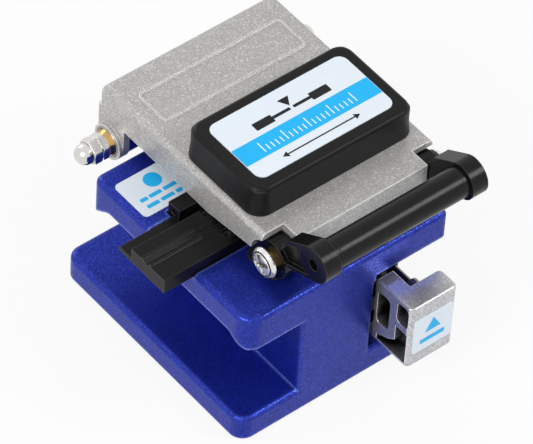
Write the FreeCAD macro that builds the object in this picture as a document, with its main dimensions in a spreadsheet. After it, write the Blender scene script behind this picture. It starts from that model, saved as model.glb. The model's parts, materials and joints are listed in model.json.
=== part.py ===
import FreeCAD, Part
import math
import os
import re

import Sketcher
from FreeCAD import Vector

# A hand-held fibre cleaver: a cast base with a raised deck, a hinged cast lid that carries the fibre
# clamps and the anvil, a swinging lever on the front of the lid, and a slider with a round blade.
# Millimetres, +Z up, the user in front at -Y, the fibre along X. The origin is on the floor plane
# under the middle of the base plate.

# ---------------------------------------------------------------------------- driving dimensions
SIZES = {
    # base plate and its rubber pad
    "base_width": 55.5, "base_depth": 62.0, "base_thick": 6.5, "base_lift": 0.5,
    "base_corner": 3.5, "base_edge": 1.3, "base_foot_edge": 0.3, "mat_thick": 1.0,
    "mat_inset": 4.0, "mat_corner": 4.5,
    # tower that carries the deck
    "tower_right": 8.05, "tower_width": 20.0, "tower_depth": 48.0, "tower_corner": 1.0,
    # deck
    "deck_top": 38.7, "deck_depth": 53.2, "deck_skin": 3.2, "deck_wall": 2.7, "deck_corner": 4.2,
    "deck_rear_corner": 2.4, "deck_end_corner": 1.4, "deck_edge": 1.3,
    "skirt_drop": 9.4, "bay_drop": 7.6,
    "arch_rise": 3.0, "arch_foot": 1.3, "arch_slope": 4.6, "arch_round": 2.5,
    # hinge
    "hinge_y": 30.5, "hinge_z": 35.8, "barrel_radius": 4.1, "neck_width": 26.0, "neck_thick": 5.6,
    "neck_rise": 1.7, "axle_radius": 1.5, "ear_radius": 4.4, "ear_thick": 1.7, "ear_boss": 0.9,
    "counterbore_radius": 3.75, "counterbore_depth": 1.3, "washer_radius": 3.2,
    "washer_face": 2.7, "washer_stand": 1.2,
    "nut_flats": 5.5, "nut_chamfer": 0.3, "jam_thick": 1.9, "cap_hex": 2.3, "cap_neck": 0.6,
    "cap_radius": 2.5,
    # fibre line, guide plate and clamps
    "fibre_y": -6.15, "fibre_z": 41.1, "guide_depth": 1.0, "guide_left": -35.5, "guide_right": 2.0,
    "guide_front": -12.6, "guide_step": -1.3, "guide_back": 2.7, "guide_top": 41.6,
    "ledge_top": 38.8, "groove_width": 2.0, "lip_length": 14.0, "lip_width": 0.6, "lip_rise": 0.25,
    "stop_left": -21.0, "stop_right": -9.0, "stop_front": 0.8, "stop_back": 4.5, "stop_top": 42.0,
    "stop_bore": 0.8, "stop_bore_depth": 3.0, "guide_screw_x": -16.3, "guide_screw_pitch": 7.2,
    "guide_screw_y": -9.8, "small_head_radius": 1.3, "small_head_thick": 0.8, "small_shank": 0.8,
    "seat_thick": 1.5, "seat_margin": 0.8, "pad_thick": 0.8, "pad_width": 6.5, "pad_depth": 10.7,
    "pad_offset": 3.2, "clamp_gap": 0.12, "upper_pad_thick": 1.0,
    # labels
    "label_thick": 0.25, "label_corner": 2.2, "label_edge": 1.75, "label_gap": 1.3,
    "deck_label_width": 15.0,
    "deck_label_corner": 1.2, "deck_label_depth": 11.4, "cover_label_margin": 3.5,
    "push_label_low": 13.5, "push_label_high": 24.0, "push_label_margin": 1.0,
    # lid
    "lid_x": 7.2, "cover_ledge": 1.4, "lid_top": 50.5, "lid_plate": 1.6, "lid_wall": 1.6,
    "lid_front": -20.8, "lid_skirt": 8.35, "lid_rise": 2.05,
    "rise_start": -3.0, "rise_end": -17.4, "lid_rear_round": 3.3, "lid_edge": 1.4,
    "tongue_half": 17.7, "tongue_front": -25.95, "tongue_skirt": 5.0, "cheek_thick": 3.0,
    "cheek_radius": 3.3, "frame_half": 19.7, "frame_front": 16.8, "frame_depth": 10.2,
    "frame_line": 0.6, "frame_rise": 0.35, "frame_corner": 1.5,
    # cover on the lid
    "cover_half": 22.1, "cover_front": -17.1, "cover_back": 8.5, "cover_rise": 7.7,
    "cover_corner": 4.0, "cover_draft": 4.5, "cover_edge": 1.1, "cover_wall": 1.6,
    "cover_boss": 2.3, "cover_screw_reach": 3.6,
    # lever on the front of the lid
    "pivot_y": -22.65, "pivot_z": 44.0, "hub_radius": 4.8, "hub_clearance": 0.4, "arm_gap": 0.3,
    "arm_thick": 4.1, "web_recess": 1.1, "web_rim": 0.9, "neck_run": 2.25, "neck_height": 3.9,
    "knee_run": 3.25, "knee_height": 7.7, "crest_run": 4.45, "crest_height": 9.6,
    "bar_y": -35.7, "bar_z": 53.75, "end_radius": 4.5, "bar_radius": 3.65, "end_hole": 1.4,
    "end_hole_depth": 1.7, "bushing_radius": 2.5, "bushing_stand": 1.5, "pivot_shank": 1.2,
    "pivot_head": 3.6, "pivot_head_thick": 1.4, "pivot_crown": 2.2, "pivot_shoulder": 3.2,
    "pivot_brim": 0.35, "pivot_bevel": 0.4,
    # catch and bumpers between lid and deck
    "magnet_x": 1.0, "magnet_y": -20.0, "magnet_radius": 3.0, "magnet_thick": 2.0,
    "catch_gap": 0.15, "catch_thick": 1.2, "bumper_front": -24.7, "bumper_depth": 10.4,
    "bumper_width": 4.8, "bumper_thick": 0.4, "bumper_round": 2.2,
    # slider, rail and blade
    "travel": 12.0, "rail_thick": 3.45, "rail_low": 14.0, "rail_height": 5.0, "rail_neck": 1.35,
    "rail_relief": 0.6, "rail_length": 34.0, "rail_screw_pitch": 13.0,
    "rail_screw_length": 6.2,
    "stop_pin_radius": 1.4, "stop_pin_length": 4.2, "stop_pin_z": 32.0,
    "block_gap": 1.2, "block_width": 13.0, "block_front": -41.7, "block_bar": 6.0,
    "block_arm": 4.55, "block_back": -30.0, "block_low": 9.6, "block_height": 18.6,
    "block_corner": 1.2, "block_edge": 0.5, "block_skin": 0.9, "block_rib": 1.5,
    "upper_pocket_drop": 6.9, "lower_pocket_rise": 10.0, "rear_pocket_rise": 6.2,
    "rear_pocket_drop": 3.0, "pocket_heel": 2.4, "pocket_toe": 3.8, "pocket_knee": 5.6,
    "carriage_gap": 0.3, "carriage_low": 11.0, "carriage_height": 11.5, "carriage_skin": 2.3,
    "carriage_back": 2.0, "post_gap": 2.45, "post_thick": 3.9, "post_depth": 11.7,
    "post_top": 35.0, "rod_z": 24.4, "rod_radius": 1.3, "collar_radius": 2.2,
    "collar_length": 2.4, "rod_length": 6.3, "lug_depth": 4.0, "lug_cheek": 0.6,
    "hub_step": 0.5, "blade_radius": 8.0, "blade_thick": 1.0,
    "blade_bevel": 0.8, "blade_hub": 3.0, "blade_axle": 1.5, "blade_nut_radius": 2.2,
    "blade_nut_thick": 1.6, "slot_margin": 1.1, "slot_play": 0.9,
    # anvil in the lid
    "anvil_half": 2.2, "anvil_depth": 7.7, "anvil_lift": 1.2, "anvil_height": 2.2,
    "tip_half": 1.2, "tip_depth": 3.7, "tip_height": 1.0, "anvil_clear": 0.2,
    "spring_radius": 1.4, "spring_wire": 0.5, "spring_pocket": 2.5,
    # fits
    "fit": 0.05, "seat_fit": 0.1, "recess_fit": 0.3,
}

# ------------------------------------------------------------------- sizes that follow from others
FORMULAS = {
    "base_left": "-base_width / 2", "base_right": "base_width / 2",
    "base_front": "-base_depth / 2", "base_back": "base_depth / 2",
    "base_top": "base_lift + base_thick",
    "tower_left": "tower_right - tower_width",
    "tower_back": "base_front + tower_depth",
    "deck_back": "base_front + deck_depth", "deck_under": "deck_top - deck_skin",
    "skirt_low": "deck_top - skirt_drop", "bay_low": "deck_top - bay_drop",
    "ear_inner": "lid_half - ear_thick", "ear_outer": "lid_half + ear_boss",
    "barrel_half": "ear_inner - recess_fit", "barrel_bore": "axle_radius + fit",
    "washer_inner": "ear_outer - counterbore_depth + seat_fit",
    "washer_outer": "ear_outer + washer_stand", "jam_outer": "washer_outer + jam_thick",
    "cap_shoulder": "jam_outer + cap_hex", "cap_centre": "cap_shoulder + cap_neck",
    "axle_half": "cap_centre + cap_radius / 4", "nut_corner": "nut_flats / 2 / cos(30)",
    "guide_low": "deck_top - guide_depth",
    "groove_depth": "guide_top - fibre_z + groove_width / 20",
    "seat_top": "deck_top + seat_thick", "pad_front": "fibre_y - pad_depth / 2",
    "pad_back": "fibre_y + pad_depth / 2", "lower_pad_top": "seat_top + pad_thick",
    "upper_pad_low": "lower_pad_top + clamp_gap",
    "upper_pad_top": "upper_pad_low + upper_pad_thick",
    "lid_back": "hinge_y + ear_radius", "ear_front": "hinge_y - ear_radius",
    "lid_half": "cover_half + cover_ledge",
    "lid_under": "lid_top - lid_plate", "lid_low": "lid_top - lid_skirt",
    "cover_top": "lid_top + cover_rise", "cover_skin": "cover_top - cover_wall",
    "arm_inner": "tongue_half + arm_gap", "arm_outer": "arm_inner + arm_thick",
    "head_seat": "arm_outer + bushing_stand", "hub_sweep": "hub_radius + hub_clearance",
    "rail_right": "tower_right + rail_thick", "rail_top": "rail_low + rail_height",
    "rail_middle": "rail_low + rail_height / 2",
    "rail_front": "block_back + travel + recess_fit", "rail_back": "rail_front + rail_length",
    "block_left": "tower_right + block_gap", "block_right": "block_left + block_width",
    "block_top": "block_low + block_height",
    "bar_back": "block_front + block_bar", "arm_right": "block_left + block_arm",
    "carriage_left": "tower_right + carriage_gap",
    "carriage_top": "carriage_low + carriage_height",
    "post_left": "tower_right + post_gap", "post_right": "post_left + post_thick",
    "blade_x": "hub_start + hub_step + blade_thick / 2", "blade_y": "fibre_y - travel / 2",
    "blade_z": "fibre_z - blade_radius", "post_front": "blade_y - post_depth / 2",
    "post_back": "blade_y + post_depth / 2", "lug_front": "bar_back + rod_length + collar_length",
    "slot_left": "blade_x - blade_thick / 2 - slot_margin",
    "slot_right": "blade_x + blade_thick / 2 + slot_margin",
    "blade_chord": "sqrt(blade_radius ^ 2 - (deck_under - blade_z) ^ 2)",
    "slot_front": "blade_y - blade_chord - slot_play",
    "slot_back": "blade_y + travel + blade_chord + slot_play",
    "tip_low": "fibre_z + anvil_clear", "anvil_low": "tip_low + tip_height",
    "anvil_top": "anvil_low + anvil_height", "carrier_under": "anvil_top + anvil_lift + anvil_clear",
    "carrier_half": "pad_offset + pad_width + seat_margin",
    "spring_top": "carrier_under + spring_pocket",
    "block_rear_rib": "block_back - block_rib", "pocket_front": "block_front + block_skin",
    "pocket_back": "bar_back - block_rib", "pocket_end": "block_right - block_rib",
    "rod_x": "arm_right + collar_radius + fit", "rod_top": "rod_z + collar_radius",
    "carriage_right": "max(post_right, rail_right + carriage_skin)",
    "hub_start": "post_right + seat_fit",
    "hub_end": "blade_x + blade_thick / 2 + seat_fit * 2", "nut_start": "hub_end + seat_fit",
    "nut_end": "nut_start + blade_nut_thick", "cheek_inner": "tongue_half - cheek_thick",
    "ear_floor": "ear_outer - counterbore_depth", "ear_beyond": "ear_outer + ear_boss",
    "catch_low": "deck_top + catch_gap",
    "cover_inset": "cover_wall + cover_rise * tan(cover_draft)",
    "boss_inset": "cover_inset + small_shank", "deck_label_left": "base_left + label_edge",
    "deck_label_front": "stop_back + label_gap",
}
FUNCTIONS = {"sin", "cos", "tan", "sqrt", "min", "max"}

doc = FreeCAD.newDocument("fibre_cleaver")
sheet = doc.addObject("Spreadsheet::Sheet", "Sizes")
for row, (alias, size) in enumerate(SIZES.items(), start=1):
    sheet.set(f"A{row}", alias)
    sheet.set(f"B{row}", str(size))
    sheet.setAlias(f"B{row}", alias)
doc.recompute()


def formula(text):
    """Write a formula in cells of the sheet: each size becomes its cell, each name its formula."""
    def cell(match):
        word = match.group(0)
        if word in FUNCTIONS:
            return word
        if word in FORMULAS:
            return "(" + formula(FORMULAS[word]) + ")"
        if word in SIZES:
            return "Sizes." + word
        raise KeyError(word)
    return re.sub(r"[a-z][a-z_]*", cell, str(text))


def measure(text):
    """The value of a formula in millimetres, from the sheet's own cells."""
    return float(sheet.evalExpression(formula(text)))


# ---------------------------------------------------------------------------------- sketch shapes
def bind(sketch, kind, places, size, text):
    """Add one dimension to a sketch and tie it to a formula."""
    index = sketch.addConstraint(Sketcher.Constraint(kind, *places, size))
    name = f"size{index}"
    sketch.renameConstraint(index, name)
    sketch.setExpression("Constraints." + name, formula(text))


def outline(*corners):
    """A closed outline of straight sides; each corner is a pair of formulas."""
    def draw(sketch):
        points = [Vector(measure(across), measure(up), 0) for across, up in corners]
        first = sketch.GeometryCount
        ring = range(len(points))
        for here in ring:
            side = Part.LineSegment(points[here], points[(here + 1) % len(points)])
            sketch.addGeometry(side, False)
        for here in ring:
            after = first + (here + 1) % len(points)
            sketch.addConstraint(Sketcher.Constraint("Coincident", first + here, 2, after, 1))
        for here, (across, up) in enumerate(corners):
            bind(sketch, "DistanceX", (-1, 1, first + here, 1), points[here].x, across)
            bind(sketch, "DistanceY", (-1, 1, first + here, 1), points[here].y, up)
    return draw


def rectangle(left, right, low, high):
    """A rectangle between two formulas each way."""
    return outline((left, low), (right, low), (right, high), (left, high))


def rounded(left, right, low, high, radius):
    """A rectangle with four equal round corners."""
    def draw(sketch):
        x0, x1, y0, y1, r = (measure(text) for text in (left, right, low, high, radius))
        centres = [(x1 - r, y0 + r), (x1 - r, y1 - r), (x0 + r, y1 - r), (x0 + r, y0 + r)]
        arcs = []
        for turn, (x, y) in enumerate(centres):
            round_part = Part.Circle(Vector(x, y, 0), Vector(0, 0, 1), r)
            start = (turn - 1) * math.pi / 2
            arc = Part.ArcOfCircle(round_part, start, start + math.pi / 2)
            arcs.append(sketch.addGeometry(arc, False))
        ends = [(Vector(x1, y0 + r, 0), Vector(x1, y1 - r, 0)),
                (Vector(x1 - r, y1, 0), Vector(x0 + r, y1, 0)),
                (Vector(x0, y1 - r, 0), Vector(x0, y0 + r, 0)),
                (Vector(x0 + r, y0, 0), Vector(x1 - r, y0, 0))]
        sides = [sketch.addGeometry(Part.LineSegment(*pair), False) for pair in ends]
        for turn in range(4):
            after = arcs[(turn + 1) % 4]
            sketch.addConstraint(Sketcher.Constraint("Tangent", arcs[turn], 2, sides[turn], 1))
            sketch.addConstraint(Sketcher.Constraint("Tangent", sides[turn], 2, after, 1))
            level = "Vertical" if turn in (0, 2) else "Horizontal"
            sketch.addConstraint(Sketcher.Constraint(level, sides[turn]))
        for turn in range(1, 4):
            sketch.addConstraint(Sketcher.Constraint("Equal", arcs[0], arcs[turn]))
        bind(sketch, "Radius", (arcs[0],), r, radius)
        bind(sketch, "DistanceX", (-1, 1, sides[0], 1), x1, right)
        bind(sketch, "DistanceY", (-1, 1, sides[1], 1), y1, high)
        bind(sketch, "DistanceX", (-1, 1, sides[2], 1), x0, left)
        bind(sketch, "DistanceY", (-1, 1, sides[3], 1), y0, low)
    return draw


def circle(across, up, radius):
    """A circle about a point given by two formulas."""
    def draw(sketch):
        centre = Vector(measure(across), measure(up), 0)
        ring = sketch.addGeometry(Part.Circle(centre, Vector(0, 0, 1), measure(radius)), False)
        bind(sketch, "Radius", (ring,), measure(radius), radius)
        bind(sketch, "DistanceX", (-1, 1, ring, 3), centre.x, across)
        bind(sketch, "DistanceY", (-1, 1, ring, 3), centre.y, up)
    return draw


# -------------------------------------------------------------------------------- body operations
def new_body(name):
    """Start the body of one sub-part."""
    body = doc.addObject("PartDesign::Body", name)
    body.Label = name
    return body


def sketch_on(body, name, plane, level):
    """Start a sketch parallel to one of the body's own origin planes, at a level along its axis."""
    sketch = body.newObject("Sketcher::SketchObject", name)
    planes = [feature for feature in body.Origin.OriginFeatures if feature.Role == plane + "_Plane"]
    sketch.AttachmentSupport = [(planes[0], "")]
    sketch.MapMode = "FlatFace"
    facing = -1 if plane == "XZ" else 1  # the XZ plane faces -Y
    sketch.setExpression("AttachmentOffset.Base.z", formula(f"({level}) * {facing}"))
    return sketch


def extrude(kind, body, name, plane, low, high, shapes):
    """Pad or pocket a sketch between two levels along the plane's axis."""
    runs_down = (kind == "Pocket") != (plane == "XZ")
    sketch = sketch_on(body, f"{body.Name}_{name}_sketch", plane, high if runs_down else low)
    for draw in shapes:
        draw(sketch)
    feature = body.newObject("PartDesign::" + kind, f"{body.Name}_{name}")
    feature.Profile = sketch
    feature.setExpression("Length", formula(f"({high}) - ({low})"))
    return feature


def add(body, name, plane, low, high, *shapes):
    """Add material between two levels."""
    feature = extrude("Pad", body, name, plane, low, high, shapes)
    doc.recompute()
    return feature


def cut(body, name, plane, low, high, *shapes):
    """Take material away between two levels, and make sure that some was there."""
    before = body.Shape.Volume
    feature = extrude("Pocket", body, name, plane, low, high, shapes)
    doc.recompute()
    if not body.Shape.Volume < before - 1e-6:
        raise RuntimeError(f"{body.Name}: {name} takes nothing away")
    return feature


def edge_range(edge, axis):
    """The lowest and the highest place of an edge along an axis."""
    box = edge.BoundBox
    return getattr(box, axis + "Min"), getattr(box, axis + "Max")


def lies_at(edge, axis, text):
    """Whether a whole edge lies at one level along an axis."""
    low, high = edge_range(edge, axis)
    level = measure(text)
    return abs(low - level) < 1e-4 and abs(high - level) < 1e-4


def runs_along(edge, axis):
    """Whether an edge is straight and parallel to an axis."""
    low, high = edge_range(edge, axis)
    return edge.Curve.TypeId == "Part::GeomLine" and abs(high - low - edge.Length) < 1e-5


def stands_at(edge, across, along):
    """Whether an edge is upright and stands at a place in plan."""
    return runs_along(edge, "Z") and lies_at(edge, "X", across) and lies_at(edge, "Y", along)


def round_edges(body, name, radius, chosen):
    """Round the edges of a body that a test picks."""
    base = body.Tip
    names = [f"Edge{i}" for i, edge in enumerate(base.Shape.Edges, start=1) if chosen(edge)]
    if not names:
        raise RuntimeError(f"{body.Name}: {name} finds no edge")
    feature = body.newObject("PartDesign::Fillet", f"{body.Name}_{name}")
    feature.Base = (base, names)
    feature.setExpression("Radius", formula(radius))
    doc.recompute()
    return feature


def turned(name, axis, corners, centre=("0", "0", "0")):
    """A turned piece: corners are pairs of place along the axis and radius, about a centre."""
    body = new_body(name)
    plane = {"X": "XY", "Y": "YZ", "Z": "XZ"}[axis]
    sketch = sketch_on(body, name + "_profile", plane, "0")
    if axis == "Z":
        corners = [(radius, along) for along, radius in corners]
    outline(*corners)(sketch)
    feature = body.newObject("PartDesign::Revolution", name + "_turned")
    feature.Profile = sketch
    feature.ReferenceAxis = (sketch, ["V_Axis" if axis == "Z" else "H_Axis"])
    place(body, *centre)
    doc.recompute()
    return body


def place(piece, across, along, up):
    """Tie a piece's placement to three formulas."""
    piece.setExpression("Placement.Base.x", formula(across))
    piece.setExpression("Placement.Base.y", formula(along))
    piece.setExpression("Placement.Base.z", formula(up))


def mirrored(name, source):
    """The same piece on the other side of the lid's middle plane."""
    piece = doc.addObject("Part::Mirroring", name)
    piece.Label = name
    piece.Source = source
    piece.Normal = Vector(1, 0, 0)
    piece.setExpression("Base.x", formula("lid_x"))
    return piece


def group(name, members):
    """One sub-part made of several equal pieces."""
    piece = doc.addObject("Part::Compound", name)
    piece.Label = name
    piece.Links = members
    return piece


def plate(name, left, right, front, back, low, high):
    """A plain rectangular plate."""
    piece = doc.addObject("Part::Box", name)
    piece.Label = name
    piece.setExpression("Length", formula(f"({right}) - ({left})"))
    piece.setExpression("Width", formula(f"({back}) - ({front})"))
    piece.setExpression("Height", formula(f"({high}) - ({low})"))
    place(piece, left, front, low)
    return piece


# ------------------------------------------------------------------------------------ base pieces
def base_frame():
    """The casting: base plate, tower, hollow deck with an arched left skirt, and hinge barrel."""
    body = new_body("base_frame")
    add(body, "plate", "XY", "base_lift", "base_top",
        rounded("base_left", "base_right", "base_front", "base_back", "base_corner"))
    round_edges(body, "plate_edges", "base_edge", lambda edge: lies_at(edge, "Z", "base_top"))
    round_edges(body, "foot_edges", "base_foot_edge",
                lambda edge: lies_at(edge, "Z", "base_lift"))
    add(body, "deck", "XY", "skirt_low", "deck_top",
        rectangle("base_left", "base_right", "base_front", "deck_back"))
    for corner, radius, across, along in (
            ("front", "deck_corner", "base_left", "base_front"),
            ("rear", "deck_rear_corner", "base_left", "deck_back"),
            ("end_front", "deck_end_corner", "base_right", "base_front"),
            ("end_rear", "deck_end_corner", "base_right", "deck_back")):
        round_edges(body, "deck_corner_" + corner, radius, lambda edge: stands_at(
            edge, across, along) and edge_range(edge, "Z")[1] > measure("deck_under"))
    add(body, "tower", "XY", "base_lift + base_thick / 2", "deck_under + deck_skin / 2",
        rounded("tower_left", "tower_right", "base_front", "tower_back", "tower_corner"))
    round_edges(body, "deck_edges", "deck_edge", lambda edge: lies_at(edge, "Z", "deck_top"))
    cut(body, "right_bay", "XY", "skirt_low - deck_skin", "bay_low",
        rectangle("tower_right", "base_right + deck_wall", "base_front - deck_wall",
                  "deck_back + deck_wall"))
    cut(body, "left_hollow", "XY", "skirt_low - deck_skin", "deck_under",
        rectangle("base_left + deck_wall", "tower_left", "base_front + deck_wall",
                  "deck_back - deck_wall"))
    cut(body, "right_hollow", "XY", "bay_low - deck_skin", "deck_under",
        rectangle("tower_right", "base_right - deck_wall", "base_front + deck_wall",
                  "deck_back - deck_wall"))
    cut(body, "arch", "YZ", "base_left - deck_wall", "base_left + deck_wall + fit",
        outline(("base_front + arch_foot", "skirt_low"),
                ("base_front + arch_foot + arch_slope", "skirt_low + arch_rise"),
                ("deck_back - arch_foot - arch_slope", "skirt_low + arch_rise"),
                ("deck_back - arch_foot", "skirt_low"),
                ("deck_back - arch_foot", "skirt_low - deck_wall"),
                ("base_front + arch_foot", "skirt_low - deck_wall")))
    round_edges(body, "arch_rounds", "arch_round", lambda edge: runs_along(edge, "X")
                and lies_at(edge, "Z", "skirt_low + arch_rise"))
    cut(body, "blade_slot", "XY", "deck_under - deck_skin", "deck_top + deck_skin",
        rounded("slot_left", "slot_right", "slot_front", "slot_back", "slot_margin"))
    cut(body, "guide_recess", "XY", "guide_low", "deck_top + guide_depth",
        rectangle("base_left - deck_wall", "guide_right + recess_fit", "guide_front - recess_fit",
                  "guide_back + recess_fit"))
    cut(body, "stop_recess", "XY", "guide_low", "deck_top + guide_depth",
        rectangle("stop_left - recess_fit", "stop_right + recess_fit", "guide_back",
                  "stop_back + recess_fit"))
    cut(body, "guide_holes", "XY", "deck_under", "guide_low + guide_depth / 2",
        circle("guide_screw_x", "guide_screw_y", "small_shank + fit"),
        circle("guide_screw_x", "guide_screw_y + guide_screw_pitch", "small_shank + fit"))
    cut(body, "magnet_seat", "XY", "deck_top - magnet_thick", "deck_top + magnet_thick",
        circle("magnet_x", "magnet_y", "magnet_radius + fit"))
    neck_high = "hinge_z + neck_rise"
    add(body, "neck", "XY", f"{neck_high} - neck_thick", neck_high,
        rectangle("lid_x - neck_width / 2", "lid_x + neck_width / 2", "deck_back - deck_wall / 2",
                  "hinge_y"))
    add(body, "barrel", "YZ", "lid_x - barrel_half", "lid_x + barrel_half",
        circle("hinge_y", "hinge_z", "barrel_radius"))
    cut(body, "bore", "YZ", "lid_x - ear_outer", "lid_x + ear_outer",
        circle("hinge_y", "hinge_z", "barrel_bore"))
    for place_name, along in rail_screw_places():
        cut(body, "rail_hole_" + place_name, "YZ", "tower_right - rail_thick",
            "tower_right + rail_thick", circle(along, "rail_middle", "small_shank + fit"))
    for place_name, along in stop_pin_places():
        cut(body, "pin_hole_" + place_name, "YZ", "tower_right - stop_pin_length / 2",
            "tower_right + rail_thick", circle(along, "stop_pin_z", "stop_pin_radius + fit"))
    cut(body, "mat_recess", "XY", "base_lift - mat_thick", "mat_thick",
        rounded("base_left + mat_inset - recess_fit", "base_right - mat_inset + recess_fit",
                "base_front + mat_inset - recess_fit", "base_back - mat_inset + recess_fit",
                "mat_corner + recess_fit"))
    return body


def rail_screw_places():
    """Names and places along Y of the three rail screws, about the middle of the rail."""
    middle = "rail_front + rail_length / 2"
    return [(name, f"{middle} + {step} * rail_screw_pitch")
            for name, step in (("front", -1), ("middle", 0), ("back", 1))]


def stop_pin_places():
    """Names and places along Y of the pins that stop the blade post at both ends of its travel."""
    return [("front", "post_front - seat_fit - stop_pin_radius"),
            ("back", "post_back + travel + seat_fit + stop_pin_radius")]


def rubber_pad():
    """The anti-slip pad under the base plate."""
    body = new_body("rubber_pad")
    add(body, "sheet", "XY", "0", "mat_thick",
        rounded("base_left + mat_inset", "base_right - mat_inset", "base_front + mat_inset",
                "base_back - mat_inset", "mat_corner"))
    return body


def guide_plate():
    """The fibre guide: a raised rail with a V groove and a low ledge behind it."""
    body = new_body("guide_plate")
    half = "groove_width / 2"
    add(body, "profile", "YZ", "guide_left", "guide_right",
        outline(("guide_front", "guide_low"), ("guide_back", "guide_low"),
                ("guide_back", "ledge_top"), ("guide_step", "ledge_top"),
                ("guide_step", "guide_top"), (f"fibre_y + {half}", "guide_top"),
                ("fibre_y", "guide_top - groove_depth"), (f"fibre_y - {half}", "guide_top"),
                ("guide_front", "guide_top")))
    lip = "guide_left + lip_length"
    for name, near, far in (("front_lip", f"fibre_y - {half} - lip_width", f"fibre_y - {half}"),
                            ("back_lip", f"fibre_y + {half}", f"fibre_y + {half} + lip_width")):
        add(body, name, "YZ", "guide_left", lip,
            rectangle(near, far, "guide_top - lip_rise", "guide_top + lip_rise"))
    round_edges(body, "rail_edge", "lip_rise",
                lambda edge: runs_along(edge, "X") and lies_at(edge, "Z", "guide_top")
                and lies_at(edge, "Y", "guide_front"))
    heads = [("guide_screw_x", "guide_screw_y"),
             ("guide_screw_x", "guide_screw_y + guide_screw_pitch")]
    cut(body, "counterbores", "XY", "guide_top - small_head_thick - recess_fit",
        "guide_top + small_head_thick",
        *[circle(x, y, "small_head_radius + fit") for x, y in heads])
    cut(body, "screw_holes", "XY", "guide_low - guide_depth", "guide_top",
        *[circle(x, y, "small_shank + fit") for x, y in heads])
    return body


def guide_block():
    """The stop block behind the guide rail, seated over the ledge and on the recess floor."""
    body = new_body("guide_block")
    add(body, "profile", "YZ", "stop_left", "stop_right",
        outline(("stop_front", "ledge_top"), ("guide_back + fit", "ledge_top"),
                ("guide_back + fit", "guide_low"), ("stop_back", "guide_low"),
                ("stop_back", "stop_top"), ("stop_front", "stop_top")))
    cut(body, "pin_bore", "YZ", "stop_left - stop_bore_depth", "stop_left + stop_bore_depth",
        circle("(stop_front + stop_back) / 2", "(ledge_top + stop_top) / 2", "stop_bore"))
    return body


def screw_down(name, across, along, top):
    """A small pan-head screw with its head uppermost."""
    return turned(name, "Z", [("0", "0"), ("0", "small_head_radius"),
                              ("-small_head_thick", "small_head_radius"),
                              ("-small_head_thick", "small_shank"),
                              ("-(guide_top - deck_under)", "small_shank"),
                              ("-(guide_top - deck_under)", "0")], (across, along, top))


def guide_screws():
    """The two screws that hold the guide plate down."""
    top = "guide_top - recess_fit"
    return group("guide_screws", [
        screw_down("guide_screw_front", "guide_screw_x", "guide_screw_y", top),
        screw_down("guide_screw_back", "guide_screw_x", "guide_screw_y + guide_screw_pitch", top)])


def clamp_places():
    """Near and far edges of the clamp pads on both sides of the blade."""
    return [("left", "blade_x - pad_offset - pad_width", "blade_x - pad_offset"),
            ("right", "blade_x + pad_offset", "blade_x + pad_offset + pad_width")]


def clamp_seats():
    """Ground steel seats on the deck, one on each side of the blade slot."""
    seats = [plate("clamp_seat_" + side, f"{near} - seat_margin", f"{far} + seat_margin",
                   "pad_front - seat_margin", "pad_back + seat_margin", "deck_top", "seat_top")
             for side, near, far in clamp_places()]
    return group("clamp_seats", seats)


def clamp_pad(name, near, far, low, high):
    """A rubber pad that holds the fibre."""
    body = new_body(name)
    add(body, "pad", "XY", low, high, rounded(near, far, "pad_front", "pad_back", "seat_margin"))
    return body


def clamp_pads():
    """Two lower pads on their seats and two upper pads under the lid."""
    pads = []
    for side, near, far in clamp_places():
        pads.append(clamp_pad("lower_clamp_pad_" + side, near, far, "seat_top", "lower_pad_top"))
        pads.append(clamp_pad("upper_clamp_pad_" + side, near, far, "upper_pad_low",
                              "upper_pad_top"))
    return pads


def deck_label():
    """The label on the rear of the deck."""
    body = new_body("deck_label")
    add(body, "sheet", "XY", "deck_top", "deck_top + label_thick",
        rounded("deck_label_left", "deck_label_left + deck_label_width", "deck_label_front",
                "deck_label_front + deck_label_depth", "deck_label_corner"))
    return body


def hinge_axle():
    """The long hinge pin, threaded into a cap nut at each end."""
    piece = doc.addObject("Part::Cylinder", "hinge_axle")
    piece.Label = "hinge_axle"
    piece.setExpression("Radius", formula("axle_radius"))
    piece.setExpression("Height", formula("2 * axle_half"))
    piece.Placement.Rotation = FreeCAD.Rotation(Vector(0, 1, 0), 90)
    place(piece, "lid_x - axle_half", "hinge_y", "hinge_z")
    return piece


def hexagon(name, inner, outer):
    """A hexagonal bar about the hinge axis, between two distances to the left of the lid's middle."""
    piece = doc.addObject("Part::Prism", name)
    piece.Polygon = 6
    piece.setExpression("Circumradius", formula("nut_corner"))
    piece.setExpression("Height", formula(f"({outer}) - ({inner})"))
    piece.Placement.Rotation = FreeCAD.Rotation(Vector(0, 1, 0), 90)
    place(piece, f"lid_x - ({outer})", "hinge_y", "hinge_z")
    return piece


def hinge_round(kind, name, radius, across):
    """A ball or a plain bar about the hinge axis."""
    piece = doc.addObject(kind, name)
    piece.setExpression("Radius", formula(radius))
    piece.Placement.Rotation = FreeCAD.Rotation(Vector(0, 1, 0), 90)
    place(piece, across, "hinge_y", "hinge_z")
    return piece


def chamfered(name, blank, inner, outer):
    """A nut blank with its corners turned off at both faces."""
    body = turned(name + "_turned", "X", [
        (f"-({outer})", "0"), (f"-({outer})", "nut_flats / 2"),
        (f"-({outer}) + nut_chamfer", "nut_corner"),
        (f"-({inner}) - nut_chamfer", "nut_corner"),
        (f"-({inner})", "nut_flats / 2"), (f"-({inner})", "0")],
        ("lid_x", "hinge_y", "hinge_z"))
    piece = doc.addObject("Part::Common", name)
    piece.Base = blank
    piece.Tool = body
    return piece


def bored(name, blank, inner, outer):
    """A hinge nut with the bore for the axle."""
    bore = hinge_round("Part::Cylinder", name + "_bore", "axle_radius + fit",
                       f"lid_x - ({outer})")
    bore.setExpression("Height", formula(f"({outer}) - ({inner})"))
    piece = doc.addObject("Part::Cut", name)
    piece.Base = blank
    piece.Tool = bore
    return piece


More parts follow.
